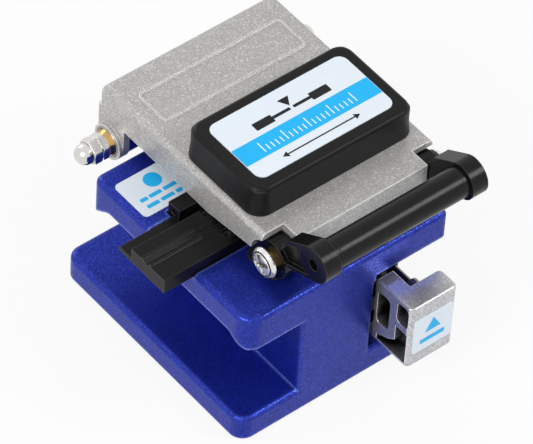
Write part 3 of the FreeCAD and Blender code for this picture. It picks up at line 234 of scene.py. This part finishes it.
def add_bump(tree, shader, height, depth, rounding):
    """Give a finish its relief over softly rounded edges."""
    bump = add_node(tree, "ShaderNodeBump", inputs={"Strength": 1.0, "Distance": depth})
    tree.links.new(height, bump.inputs["Height"])
    bevel = add_node(tree, "ShaderNodeBevel", samples=EDGE_SAMPLES, inputs={"Radius": rounding})
    tree.links.new(bevel.outputs["Normal"], bump.inputs["Normal"])
    tree.links.new(bump.outputs["Normal"], shader.inputs["Normal"])


def tinted(tone, share):
    """A colour made darker or lighter by one factor."""
    return tuple(part * share for part in tone)


# --------------------------------------------------------------------------------------- finishes
BLUE_DEEP = (0.005, 0.010, 0.18)
BLUE_BRIGHT = (0.014, 0.033, 0.41)
BLUE_DULL = (0.008, 0.014, 0.19)
BLUE_FLAKE = (0.12, 0.20, 0.80)
# Colour of the painted highlight along the rounded edges.
BLUE_EDGE_HIGHLIGHT = (0.30, 0.42, 1.0)
# Colour of the painted shade in deep hollows.
POCKET_SHADE = (0.015, 0.015, 0.017)


def blue_powder_coat():
    """Dark blue flake powder coat: orange peel, fine flakes, a painted glittering edge highlight.
    """
    flake_show, rim_plain, rim_flakes = 0.34, 0.4, 0.65
    rough_paint, rough_flake = 0.38, 0.24
    metal_paint, metal_flake = 0.45, 0.85
    finish, tree, shader = new_finish("blue_powder_coat", specular=0.2)
    grain = use_group(tree, CAST_GRAIN, Scale=2600.0, Blotch=0.3)
    flakes = use_group(tree, SPARKLE, Scale=6500.0, Share=0.35)
    # Mask for the painted edge highlight.
    edges = use_group(tree, PAINTED_EDGE_HIGHLIGHT, Radius=1.4 * MM, Gain=6.0, Break=0.35)
    paint = mix_colour(tree, contrast(tree, grain.outputs["Height"]), BLUE_DEEP, BLUE_BRIGHT)
    uneven = mix_colour(tree, contrast(tree, grain.outputs["Patch"], 0.0, 0.2), paint, BLUE_DULL)
    edge_highlight_glitter = math_node(tree, "ADD", scaled(tree, flakes.outputs[0], rim_flakes), rim_plain)
    with_flakes = mix_colour(tree, scaled(tree, flakes.outputs[0], flake_show), uneven,
                             BLUE_FLAKE)
    # Painted highlight, glittering with the flakes, along the edges.
    with_edge_highlight = mix_colour(tree, scaled(tree, edges.outputs[0], edge_highlight_glitter), with_flakes, BLUE_EDGE_HIGHLIGHT)
    tree.links.new(with_edge_highlight, shader.inputs["Base Color"])
    tree.links.new(spread(tree, flakes.outputs[0], 0.0, 1.0, rough_paint, rough_flake),
                   shader.inputs["Roughness"])
    tree.links.new(spread(tree, flakes.outputs[0], 0.0, 0.5, metal_paint, metal_flake),
                   shader.inputs["Metallic"])
    add_bump(tree, shader, grain.outputs["Height"], 0.016 * MM, 0.25 * MM)
    return finish


def cast_metal(name, tone, bright, roughness, depth, metallic, rim, recess):
    """A light die casting: fine grain, bright and dark specks, painted edge highlight and hollow
    shade.
    """
    grain_scale, grain_dark, grain_light = 3900.0, 0.5, 1.38
    speck_show, painted_glint_show, rough_play = 0.4, 0.8, 0.05
    finish, tree, shader = new_finish(name, metallic=metallic, specular=0.3)
    grain = use_group(tree, CAST_GRAIN, Scale=grain_scale, Blotch=0.12)
    specks = use_group(tree, SPARKLE, Scale=grain_scale * 0.9, Share=0.2)
    # Masks for the painted edge highlight and the broader painted glints on rounded edges.
    edges = use_group(tree, PAINTED_EDGE_HIGHLIGHT, Radius=rim, Gain=10.0, Break=0.3)
    painted_glints = use_group(tree, PAINTED_EDGE_HIGHLIGHT, Radius=4.0 * rim, Gain=3.0, Break=0.9)
    # Mask for painted shade in deep hollows; recess sets its strength.
    recess_shade_mask = use_group(tree, PAINTED_RECESS_SHADE, Reach=5.0 * MM)
    mottled = mix_colour(tree, contrast(tree, grain.outputs["Height"]), tinted(tone, grain_dark),
                         tinted(tone, grain_light))
    speckled = mix_colour(tree, scaled(tree, specks.outputs[0], speck_show), mottled, bright)
    painted_glint_share = scaled(tree, painted_glints.outputs[0],
                     spread(tree, grain.outputs["Height"], 0.4, 0.6, 0.25, 1.0))
    rounded = mix_colour(tree, scaled(tree, painted_glint_share, painted_glint_show), speckled, bright)
    edged = mix_colour(tree, edges.outputs[0], rounded, bright)
    # Painted shade in the hollows.
    with_recess_shade = mix_colour(tree, scaled(tree, recess_shade_mask.outputs[0], recess), edged, POCKET_SHADE)
    tree.links.new(with_recess_shade, shader.inputs["Base Color"])
    tree.links.new(contrast(tree, grain.outputs["Patch"], roughness - rough_play,
                            roughness + rough_play), shader.inputs["Roughness"])
    add_bump(tree, shader, grain.outputs["Height"], depth, 0.2 * MM)
    return finish


def moulded_plastic(name, tone, roughness, scale, depth, specular, rim, lighter):
    """Black moulded plastic or oxide: fine texture, greyer edges from a painted highlight."""
    edge_show, patch_show, cooler = 0.8, 0.02, 1.03
    finish, tree, shader = new_finish(name, specular=specular)
    grain = use_group(tree, CAST_GRAIN, Scale=scale, Blotch=0.3)
    # Mask for a painted highlight that greys the edges.
    edges = use_group(tree, PAINTED_EDGE_HIGHLIGHT, Radius=rim, Gain=5.0, Break=0.4)
    edge_highlighted = mix_colour(tree, scaled(tree, edges.outputs[0], edge_show), tone,
                      (lighter, lighter, lighter * cooler))
    uneven = mix_colour(tree, contrast(tree, grain.outputs["Patch"], 0.0, patch_show), edge_highlighted,
                        (lighter, lighter, lighter))
    tree.links.new(uneven, shader.inputs["Base Color"])
    tree.links.new(contrast(tree, grain.outputs["Height"], roughness - 0.05, roughness + 0.06),
                   shader.inputs["Roughness"])
    add_bump(tree, shader, grain.outputs["Height"], depth, 0.2 * MM)
    return finish


def turned_metal(name, tone, roughness, metallic=1.0):
    """Turned or plated metal with faint marks, a painted edge highlight and painted recess shade.
    """
    mark_dark, recess_shade_dark = 0.86, 0.12
    finish, tree, shader = new_finish(name, metallic=metallic)
    grain = use_group(tree, CAST_GRAIN, Scale=1500.0, Blotch=0.5)
    # Masks for a painted edge highlight and a painted shade in the recesses.
    edges = use_group(tree, PAINTED_EDGE_HIGHLIGHT, Radius=0.22 * MM, Gain=6.0, Break=0.2)
    recess_shade_mask = use_group(tree, PAINTED_RECESS_SHADE, Reach=1.6 * MM)
    # Colour of the painted edge highlight.
    bright = tuple(min(1.0, part * 1.7 + 0.08) for part in tone)
    shade = mix_colour(tree, contrast(tree, grain.outputs["Height"]), tinted(tone, mark_dark),
                       tone)
    edged = mix_colour(tree, edges.outputs[0], shade, bright)
    with_recess_shade = mix_colour(tree, recess_shade_mask.outputs[0], edged, tinted(tone, recess_shade_dark))
    tree.links.new(with_recess_shade, shader.inputs["Base Color"])
    tree.links.new(contrast(tree, grain.outputs["Patch"], roughness * 0.8, roughness * 1.25),
                   shader.inputs["Roughness"])
    add_bump(tree, shader, grain.outputs["Height"], 0.0015 * MM, 0.12 * MM)
    return finish


def printed_film(name, tone):
    """Label film or ink: nearly flat, faintly uneven, with a soft sheen."""
    finish, tree, shader = new_finish(name, specular=0.2)
    grain = use_group(tree, CAST_GRAIN, Scale=1800.0)
    paler = tuple(min(1.0, part * 1.01) for part in tone)
    shade = mix_colour(tree, contrast(tree, grain.outputs["Patch"]), tinted(tone, 0.98), paler)
    tree.links.new(shade, shader.inputs["Base Color"])
    tree.links.new(contrast(tree, grain.outputs["Height"], 0.34, 0.46),
                   shader.inputs["Roughness"])
    add_bump(tree, shader, grain.outputs["Height"], 0.002 * MM, 0.05 * MM)
    return finish


FINISHES = {
    "blue_paint": blue_powder_coat(),
    "cast_lid": cast_metal(
        "lid_casting_finish", (0.45, 0.44, 0.425), (0.97, 0.97, 0.96), roughness=0.38,
        depth=0.016 * MM, metallic=0.32, rim=0.32 * MM, recess=0.35),
    "cast_slider": cast_metal(
        "slider_casting_finish", (0.54, 0.54, 0.56), (0.97, 0.97, 0.98), roughness=0.26,
        depth=0.012 * MM, metallic=0.8, rim=0.4 * MM, recess=1.0),
    "black_plastic": moulded_plastic(
        "cover_plastic", (0.006, 0.006, 0.0065), roughness=0.38, scale=3800.0,
        depth=0.008 * MM, specular=0.16, rim=0.6 * MM, lighter=0.055),
    "lever_plastic": moulded_plastic(
        "lever_plastic", (0.004, 0.004, 0.004), roughness=0.21, scale=3000.0,
        depth=0.004 * MM, specular=0.2, rim=0.4 * MM, lighter=0.05),
    "black_steel": moulded_plastic(
        "black_oxide", (0.005, 0.005, 0.0055), roughness=0.34, scale=5200.0,
        depth=0.006 * MM, specular=0.14, rim=0.22 * MM, lighter=0.16),
    "rubber": moulded_plastic(
        "black_rubber", (0.012, 0.012, 0.013), roughness=0.72, scale=2400.0,
        depth=0.015 * MM, specular=0.25, rim=0.3 * MM, lighter=0.03),
    "steel": turned_metal("ground_steel", (0.48, 0.48, 0.48), roughness=0.28),
    "nickel": turned_metal("nickel_plate", (0.74, 0.73, 0.70), roughness=0.10),
    "brass": turned_metal("turned_brass", (0.60, 0.38, 0.14), roughness=0.24),
    "label_white": printed_film("label_film", (0.768, 0.838, 0.913)),
}
GUNMETAL = turned_metal("gunmetal", (0.22, 0.19, 0.155), roughness=0.2)
SATIN_NICKEL = turned_metal("satin_nickel", (0.86, 0.85, 0.82), roughness=0.2, metallic=0.6)
SKY_INK = printed_film("sky_blue_ink", (0.018, 0.47, 0.92))
BLACK_INK = printed_film("black_ink", (0.010, 0.010, 0.012))
WHITE_INK = printed_film("white_ink", (0.80, 0.87, 0.93))
SLOT_OF = {entry["node"]: entry["material_slot"] for entry in frame["record"]["subparts"]}


def dress(piece, finish):
    """Give a piece one finish."""
    piece.data.materials.clear()
    piece.data.materials.append(finish)


for name, node in nodes.items():
    dress(node, FINISHES[SLOT_OF[name]])
dress(nodes["slider_rod"], GUNMETAL)


# ------------------------------------------------------------------------------------- the bench
def alone(piece):
    """Select one piece and nothing else."""
    bpy.ops.object.select_all(action="DESELECT")
    piece.select_set(True)
    bpy.context.view_layer.objects.active = piece


def take_up(name):
    """Name the piece just added and put its place and size into its mesh."""
    piece = bpy.context.object
    bpy.ops.object.transform_apply(location=True, rotation=True, scale=True)
    piece.name = name
    piece.data.name = name
    return piece


def open_faces(piece, test=None):
    """Go into edit mode with the faces selected that pass a test of their centre and normal."""
    alone(piece)
    bpy.context.tool_settings.mesh_select_mode = (False, False, True)
    for part in (*piece.data.vertices, *piece.data.edges):
        part.select = False
    for face in piece.data.polygons:
        face.select = test is None or test(face.center, face.normal)
    bpy.ops.object.mode_set(mode="EDIT")


def open_edges(piece, test):
    """Go into edit mode with the edges selected whose two ends pass a test."""
    alone(piece)
    bpy.context.tool_settings.mesh_select_mode = (False, True, False)
    places = [vertex.co.copy() for vertex in piece.data.vertices]
    for part in (*piece.data.vertices, *piece.data.polygons):
        part.select = False
    for edge in piece.data.edges:
        first, second = (places[index] for index in edge.vertices)
        edge.select = test(first, second)
    bpy.ops.object.mode_set(mode="EDIT")


def close_piece():
    """Come back from edit mode."""
    bpy.ops.object.mode_set(mode="OBJECT")


def join_pieces(name, pieces):
    """Make several pieces one."""
    alone(pieces[0])
    for piece in pieces:
        piece.select_set(True)
    bpy.ops.object.join()
    pieces[0].name = name
    pieces[0].data.name = name
    return pieces[0]


def fit(piece, body, slot, finish=None):
    """Give a finished piece its finish, by default its record slot's, and the body that it moves
    with.
    """
    dress(piece, finish or FINISHES[slot])
    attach(piece, body)


def stand_for(piece, node, body, finish=None):
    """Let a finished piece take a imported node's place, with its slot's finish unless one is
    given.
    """
    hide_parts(node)
    fit(piece, body, SLOT_OF[node], finish)


# --------------------------------------------------------------------------- labels and printing
UP = Vector((0, 0, 1))
FORWARD = Vector((0, -1, 0))
LEFT = Vector((-1, 0, 0))
RIGHT = Vector((1, 0, 0))
INK = 0.02 * MM
ALONG = 0.9


def runs_along(axis):
    """A test of an edge: whether it runs along an axis."""
    return lambda first, second: abs((second - first).normalized().dot(axis)) > ALONG


def faces_along(axis):
    """A test of a face: whether it faces along an axis."""
    return lambda centre, normal: normal.dot(axis) > ALONG


def rounded_sheet(name, low, high, face, corner, rim):
    """A thin sheet between two corners, rounded in outline, with a fine rim round its face."""
    bpy.ops.object.select_all(action="DESELECT")
    bpy.ops.mesh.primitive_cube_add(size=1, location=(low + high) / 2, scale=high - low)
    sheet = take_up(name)
    open_edges(sheet, runs_along(face))
    bpy.ops.mesh.bevel(offset=corner, segments=6, affect="EDGES")
    close_piece()
    open_faces(sheet, faces_along(face))
    bpy.ops.mesh.inset(thickness=rim, depth=0)
    bpy.ops.transform.translate(value=face * -rim * 0.2)
    close_piece()
    return sheet


def printed_bar(name, low, high, surface, face, corner):
    """A bar of ink on a label; low and high are its corners in the label's own plane."""
    if face == UP:
        first = Vector((low[0], low[1], surface))
        second = Vector((high[0], high[1], surface + INK))
    else:
        first = Vector((low[0], surface - INK, low[1]))
        second = Vector((high[0], surface, high[1]))
    return rounded_sheet(name, first, second, face, corner, INK / 2)


def printed_shape(name, sides, radius, place, face, turn=0.0):
    """A disc or a triangle of ink; place is its middle, on the label's surface."""
    bpy.ops.object.select_all(action="DESELECT")
    rotation = (0, 0, turn) if face == UP else (math.pi / 2, 0, 0)
    bpy.ops.mesh.primitive_cylinder_add(vertices=sides, radius=radius, depth=INK,
                                        location=place + face * INK / 2, rotation=rotation)
    shape = take_up(name)
    open_edges(shape, runs_along(face))
    bpy.ops.mesh.bevel(offset=radius * 0.06, segments=2, affect="EDGES")
    close_piece()
    open_faces(shape, faces_along(face))
    bpy.ops.mesh.inset(thickness=INK / 2, depth=0)
    close_piece()
    return shape


def label_film(node, body, face, corner):
    """The film that stands for a packed label; its face leaves room for the ink on it."""
    low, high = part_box(node)
    if face == UP:
        surface = high.z - 1.5 * INK
        corners = low, Vector((high.x, high.y, surface))
    else:
        surface = low.y + 1.5 * INK
        corners = Vector((low.x, surface, low.z)), high
    film = rounded_sheet(node + "_film", *corners, face, corner, 0.1 * MM)
    stand_for(film, node, body)
    return low, high, surface


def cover_label():
    """The lid's label: a sky band with a scale, and a plain sign of a fibre under a blade."""
    low, high, surface = label_film("cover_label", "lid", UP, 2.2 * MM)
    front, left, right = low.y, low.x + 0.1 * MM, high.x - 0.1 * MM
    centre = (left + right) / 2

    band_low, band_high = front + 4.6 * MM, front + 10.0 * MM
    band = printed_bar("cover_label_band", (left, band_low), (right, band_high), surface, UP,
                       0.05 * MM)
    fit(band, "lid", "label_white", SKY_INK)

    pitch, count, long_every = 1.25 * MM, 21, 5
    half_tick, short_tick, long_tick = 0.14 * MM, 1.7 * MM, 3.0 * MM
    foot, scale_left = band_low + 1.1 * MM, centre - pitch * (count - 1) / 2
    ticks = []
    for index in range(count):
        place = scale_left + index * pitch
        tall = short_tick if index % long_every else long_tick
        ticks.append(printed_bar("tick", (place - half_tick, foot),
                                 (place + half_tick, foot + tall), surface + INK * 0.4, UP,
                                 0.04 * MM))
    fit(join_pieces("cover_label_scale", ticks), "lid", "label_white", WHITE_INK)

    fibre, half_fibre, half_jacket = front + 12.5 * MM, 0.4 * MM, 1.1 * MM
    half_gap, fibre_end, jacket_end = 0.45 * MM, 5.2 * MM, 10.2 * MM
    line_low, line_high, arrow_line = front + 2.25 * MM, front + 2.6 * MM, front + 2.43 * MM
    half_line, arrow = 9.6 * MM, 0.95 * MM
    sign = [
        printed_bar("fibre_left", (centre - fibre_end, fibre - half_fibre),
                    (centre - half_gap, fibre + half_fibre), surface, UP, 0.1 * MM),
        printed_bar("fibre_right", (centre + half_gap, fibre - half_fibre),
                    (centre + fibre_end, fibre + half_fibre), surface, UP, 0.1 * MM),
        printed_bar("jacket_left", (centre - jacket_end, fibre - half_jacket),
                    (centre - fibre_end, fibre + half_jacket), surface, UP, 0.25 * MM),
        printed_bar("jacket_right", (centre + fibre_end, fibre - half_jacket),
                    (centre + jacket_end, fibre + half_jacket), surface, UP, 0.25 * MM),
        printed_shape("blade_sign", 3, 1.7 * MM, Vector((centre, fibre + 2.4 * MM, surface)),
                      UP, math.pi),
        printed_bar("measure_line", (centre - half_line, line_low),
                    (centre + half_line, line_high), surface, UP, 0.05 * MM),
        printed_shape("measure_left", 3, arrow,
                      Vector((centre - half_line, arrow_line, surface)), UP, math.pi / 2),
        printed_shape("measure_right", 3, arrow,
                      Vector((centre + half_line, arrow_line, surface)), UP, -math.pi / 2),
    ]
    fit(join_pieces("cover_label_sign", sign), "lid", "label_white", BLACK_INK)


def deck_label():
    """The small label on the deck: a sky disc over two rows of plain dashes."""
    low, _, surface = label_film("deck_label", "base", UP, 1.2 * MM)
    left, front = low.x, low.y
    disc_place, disc_radius, dash_high = 8.0 * MM, 2.1 * MM, 1.0
    rows = {3.9: ((2.0, 3.9), (4.4, 7.6), (8.2, 12.6)),
            1.7: ((2.2, 5.4), (6.0, 9.4), (10.0, 13.0))}
    marks = [printed_shape("disc", 40, disc_radius,
                           Vector((left + disc_place, front + disc_place, surface)), UP)]
    for row, dashes in rows.items():
        for start, end in dashes:
            marks.append(printed_bar("line", (left + start * MM, front + row * MM),
                                     (left + end * MM, front + (row + dash_high) * MM),
                                     surface, UP, 0.2 * MM))
    fit(join_pieces("deck_label_print", marks), "base", "label_white", SKY_INK)


def push_label():
    """The label on the push block: an arrowhead over a plain line."""
    low, high, surface = label_film("push_label", "slider", FORWARD, 0.8 * MM)
    centre, half_line = (low.x + high.x) / 2, 3.4 * MM
    arrow_radius, arrow_place = 2.5 * MM, low.z + 6.5 * MM
    line_low, line_high = low.z + 2.2 * MM, low.z + 3.5 * MM
    marks = [printed_shape("arrowhead", 3, arrow_radius,
                           Vector((centre, surface, arrow_place)), FORWARD),
             printed_bar("line", (centre - half_line, line_low), (centre + half_line, line_high),
                         surface, FORWARD, 0.2 * MM)]
    fit(join_pieces("push_label_print", marks), "slider", "label_white", SKY_INK)


# ------------------------------------------------------------------ screws, rings, beads, spring
WIRE_SIDES = 10


def copy_of(node, name):
    """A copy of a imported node, with its loose triangles joined, free to be worked on."""
    alone(nodes[node])
    bpy.ops.object.duplicate(linked=False)
    piece = bpy.context.object
    piece.name = name
    piece.data.name = name
    for key in list(piece.keys()):
        del piece[key]
    open_faces(piece)
    bpy.ops.mesh.remove_doubles(threshold=0.001 * MM)
    close_piece()
    return piece


def aim(cutter, place, along):
    """Turn a cutter from the Z axis to another and set it in its place."""
    cutter.rotation_euler = along.to_track_quat("Z", "Y").to_euler()
    cutter.location = place
    bpy.ops.object.transform_apply(location=True, rotation=True)
    return cutter


def cross_cutter(place, along, wide, long, deep, turn):
    """The tool that presses a cross recess: two tapered blades through one middle."""
    taper = (0.5, 0.55, 1.0)
    blades = []
    for quarter in (0.0, math.pi / 2):
        bpy.ops.object.select_all(action="DESELECT")
        bpy.ops.mesh.primitive_cube_add(size=1, scale=(long, wide, 2 * deep))
        blade = take_up("cutter")
        open_faces(blade, faces_along(-UP))
        bpy.ops.transform.resize(value=taper)
        close_piece()
        blade.rotation_euler = (0, 0, quarter + turn)
        bpy.ops.object.transform_apply(rotation=True)
        blades.append(blade)
    return aim(join_pieces("cutter", blades), place, along)


def hex_cutter(place, along):
    """The tool that presses a six-sided recess with a coned floor into a small head."""
    radius, deep = 0.72 * MM, 0.5 * MM
    bpy.ops.object.select_all(action="DESELECT")
    bpy.ops.mesh.primitive_cylinder_add(vertices=6, radius=radius, depth=2 * deep)
    cutter = take_up("cutter")
    open_faces(cutter, faces_along(-UP))
    bpy.ops.mesh.inset(thickness=radius * 0.5, depth=radius * 0.3)
    close_piece()
    return aim(cutter, place, along)


def carve(piece, cutters):
    """Take the cutters' shapes out of a piece."""
    cutter = join_pieces("cutter", cutters)
    alone(piece)
    bpy.ops.object.modifier_add(type="BOOLEAN")
    recess = piece.modifiers[-1]
    recess.operation = "DIFFERENCE"
    recess.solver = "EXACT"
    recess.use_self = True
    recess.object = cutter
    bpy.ops.object.modifier_apply(modifier=recess.name)
    alone(cutter)
    bpy.ops.object.delete()
    alone(piece)
    bpy.ops.object.shade_smooth_by_angle(angle=math.radians(32))


def close_wire(piece):
    """Come back from edit mode with a wire's faces turned outward and smooth."""
    bpy.ops.mesh.select_all(action="SELECT")
    bpy.ops.mesh.normals_make_consistent(inside=False)
    close_piece()
    bpy.ops.object.shade_smooth()
    return piece


def wire_ring(name, place, along, radius, wire):
    """A round-wire ring about an axis, spun from a small circle."""
    bpy.ops.object.select_all(action="DESELECT")
    side = along.orthogonal().normalized()
    facing = along.cross(side).to_track_quat("Z", "Y").to_euler()
    bpy.ops.mesh.primitive_circle_add(vertices=WIRE_SIDES, radius=wire,
                                      location=place + side * radius, rotation=facing)
    ring = take_up(name)
    alone(ring)
    bpy.context.tool_settings.mesh_select_mode = (True, False, False)
    bpy.ops.object.mode_set(mode="EDIT")
    bpy.ops.mesh.select_all(action="SELECT")
    bpy.ops.mesh.spin(steps=56, angle=math.tau, center=place, axis=along)
    bpy.ops.mesh.select_all(action="SELECT")
    bpy.ops.mesh.remove_doubles(threshold=0.002 * MM)
    return close_wire(ring)


def pivot_screws():
    """The two bright pan heads that the lever turns on, each with its cross recess."""
    low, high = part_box("pivot_screws")
    middle = (low + high) / 2
    screws = copy_of("pivot_screws", "pivot_screw_heads")
    cutters = []
    for edge, along, turn in ((low.x, LEFT, 0.5), (high.x, RIGHT, 0.2)):
        crown = Vector((edge, middle.y, middle.z))
        cutters.append(cross_cutter(crown, along, wide=1.5 * MM, long=6.6 * MM, deep=1.5 * MM,
                                    turn=turn))
        cutters.append(wire_ring("cutter", crown - along * 0.42 * MM, along,
                                 radius=2.85 * MM, wire=0.26 * MM))
    carve(screws, cutters)
    stand_for(screws, "pivot_screws", "lid", SATIN_NICKEL)


def small_screws(node, body, heads):
    """A node's small fixing screws, each with a six-sided recess in its head."""
    screws = copy_of(node, node + "_cut")
    carve(screws, [hex_cutter(place, along) for place, along in heads])
    stand_for(screws, node, body)


def all_small_screws():
    """Sink a recess in each small head; a head is as far in from its node's box as it is wide."""
    head = 1.3 * MM
    low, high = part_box("guide_screws")
    middle = (low + high) / 2
    small_screws("guide_screws", "base",
                 [(Vector((middle.x, y, high.z)), UP) for y in (low.y + head, high.y - head)])
    low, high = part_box("rail_screws")
    middle = (low + high) / 2
    small_screws("rail_screws", "base",
                 [(Vector((high.x, y, middle.z)), RIGHT)
                  for y in (low.y + head, middle.y, high.y - head)])
    low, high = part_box("cover_screws")
    small_screws("cover_screws", "lid",
                 [(Vector((x, y, low.z)), -UP) for x in (low.x + head, high.x - head)
                  for y in (low.y + head, high.y - head)])
    low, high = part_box("handle_bar_screws")
    middle = (low + high) / 2
    small_screws("handle_bar_screws", "handle",
                 [(Vector((low.x, middle.y, middle.z)), LEFT),
                  (Vector((high.x, middle.y, middle.z)), RIGHT)])


def hinge_rings():
    """Two coils of a spring washer that show in each hinge eye, round the brass."""
    eye_depth, wire = 1.2 * MM, 0.17 * MM
    coils = ((0.10 * MM, 3.42 * MM), (0.42 * MM, 3.50 * MM))
    low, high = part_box("hinge_washers")
    axle = (low + high) / 2
    rings = []
    for face, inward in ((low.x + eye_depth, 1), (high.x - eye_depth, -1)):
        for step, radius in coils:
            rings.append(wire_ring("coil", Vector((face + inward * step, axle.y, axle.z)),
                                   RIGHT, radius, wire))
    fit(join_pieces("hinge_spring_washers", rings), "lid", "steel")


def bar_beads():
    """The fine raised lines near both ends of the lever bar."""
    inset, sink, wire = 1.3 * MM, 0.05 * MM, 0.11 * MM
    low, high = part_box("handle_bar")
    middle = (low + high) / 2
    radius = (high.z - low.z) / 2
    beads = [wire_ring("bead", Vector((place, middle.y, middle.z)), RIGHT, radius - sink, wire)
             for place in (low.x + inset, high.x - inset)]
    fit(join_pieces("handle_bar_beads", beads), "handle", "lever_plastic")


def spring_coil():
    """The anvil's spring as a fixed coil on the lid; the real one shortens toward the lid as the
    anvil lifts.
    """
    wire, turns, lift = 0.25 * MM, 5, 1.2 * MM
    low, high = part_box("anvil_spring")
    middle = (low + high) / 2
    height = high.z - low.z
    bpy.ops.object.select_all(action="DESELECT")
    bpy.ops.mesh.primitive_circle_add(vertices=WIRE_SIDES, radius=wire,
                                      location=((high.x - low.x) / 2 - wire, 0, 0),
                                      rotation=(math.pi / 2, 0, 0))
    coil = take_up("anvil_spring_coil")
    alone(coil)
    bpy.ops.object.modifier_add(type="SCREW")
    screw = coil.modifiers[-1]
    screw.axis = "Z"
    screw.angle = math.tau
    screw.iterations = turns
    screw.steps = screw.render_steps = 28
    screw.screw_offset = (height - 2 * wire) / turns
    bpy.ops.object.modifier_apply(modifier=screw.name)
    coil.location = (middle.x, middle.y, low.z + wire)
    bpy.ops.object.transform_apply(location=True, rotation=True, scale=True)
    bpy.ops.object.mode_set(mode="EDIT")
    bpy.ops.mesh.select_all(action="SELECT")
    bpy.ops.mesh.fill_holes(sides=0)
    close_wire(coil)
    stand_for(coil, "anvil_spring", "lid")
    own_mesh(coil)


cover_label()
deck_label()
push_label()
pivot_screws()
all_small_screws()
hinge_rings()
bar_beads()
spring_coil()


# -------------------------------------------------------------------------- floor, light, camera
def seen_directly(tree, light_path):
    """One where a surface is seen by the camera, in a gloss or through glass."""
    mirrored = math_node(tree, "MAXIMUM", light_path.outputs["Is Glossy Ray"],
                         light_path.outputs["Is Transmission Ray"])
    return math_node(tree, "MAXIMUM", light_path.outputs["Is Camera Ray"], mirrored)


def white_ground():
    """A pale surface that shows as white and keeps a soft shadow."""
    glow_share = 0.88
    finish, tree, shader = new_finish("pale_table", roughness=0.9)
    shader.inputs["Base Color"].default_value = (0.86, 0.86, 0.86, 1.0)
    glow = add_node(tree, "ShaderNodeEmission", inputs={"Strength": 1.0})
    light_path = add_node(tree, "ShaderNodeLightPath")
    mix = add_node(tree, "ShaderNodeMixShader")
    tree.links.new(scaled(tree, seen_directly(tree, light_path), glow_share), mix.inputs[0])
    tree.links.new(shader.outputs[0], mix.inputs[1])
    tree.links.new(glow.outputs[0], mix.inputs[2])
    tree.links.new(mix.outputs[0], tree.nodes["Material Output"].inputs[0])
    return finish


def make_floor():
    """A wide floor just under the object's rubber pad."""
    gap = 0.03 * MM
    bpy.ops.mesh.primitive_plane_add(size=6.0, location=(0, 0, -gap))
    floor = bpy.context.object
    floor.name = "table"
    floor.data.materials.append(white_ground())


def make_world():
    """Even pale surroundings, seen as white."""
    as_light, as_seen = 0.5, 1.0
    world = bpy.data.worlds.new("surroundings")
    bpy.context.scene.world = world
    world.use_nodes = True
    tree = world.node_tree
    background = tree.nodes["Background"]
    background.inputs["Color"].default_value = (1, 1, 1, 1)
    light_path = add_node(tree, "ShaderNodeLightPath")
    strength = spread(tree, seen_directly(tree, light_path), 0.0, 1.0, as_light, as_seen)
    tree.links.new(strength, background.inputs["Strength"])


def direction(azimuth, elevation):
    """The way to a place round the object; both angles are in degrees, from the front."""
    turn, lift = math.radians(azimuth), math.radians(elevation)
    return Vector((math.sin(turn) * math.cos(lift), -math.cos(turn) * math.cos(lift),
                   math.sin(lift)))


def soft_lamp(name, azimuth, elevation, distance, size, power):
    """A square soft lamp that faces the object."""
    toward = direction(azimuth, elevation)
    bpy.ops.object.light_add(type="AREA", location=toward * distance)
    lamp = bpy.context.object
    lamp.name = name
    lamp.data.size = size
    lamp.data.energy = power
    lamp.rotation_euler = toward.to_track_quat("Z", "Y").to_euler()


CAMERA_AZIMUTH, CAMERA_ELEVATION = -41.944, 47.506
CAMERA_ROLL = math.radians(4.099)
CAMERA_DISTANCE = 1128.9 * MM
CAMERA_AIM = Vector((1.077, -2.516, 27.356)) * MM
CAMERA_LENS = 352.75


def make_camera():
    """A long lens above the front left corner."""
    back = direction(CAMERA_AZIMUTH, CAMERA_ELEVATION)
    level = UP.cross(back).normalized()
    rise = back.cross(level)
    right = math.cos(CAMERA_ROLL) * level + math.sin(CAMERA_ROLL) * rise
    upward = -math.sin(CAMERA_ROLL) * level + math.cos(CAMERA_ROLL) * rise
    axes = Matrix((right, upward, back)).transposed().to_4x4()
    bpy.ops.object.camera_add()
    camera = bpy.context.object
    camera.matrix_world = Matrix.Translation(CAMERA_AIM + back * CAMERA_DISTANCE) @ axes
    camera.data.lens = CAMERA_LENS
    camera.data.sensor_width = 36.0
    camera.data.clip_start = 0.05
    bpy.context.scene.camera = camera


make_floor()
make_world()
soft_lamp("key_lamp", azimuth=-75, elevation=38, distance=0.9, size=0.45, power=4.15)
soft_lamp("front_lamp", azimuth=41, elevation=44, distance=1.0, size=0.32, power=2.6)
soft_lamp("rear_lamp", azimuth=178, elevation=28, distance=1.0, size=0.4, power=1.7)
make_camera()
bpy.context.scene.view_settings.view_transform = "Standard"
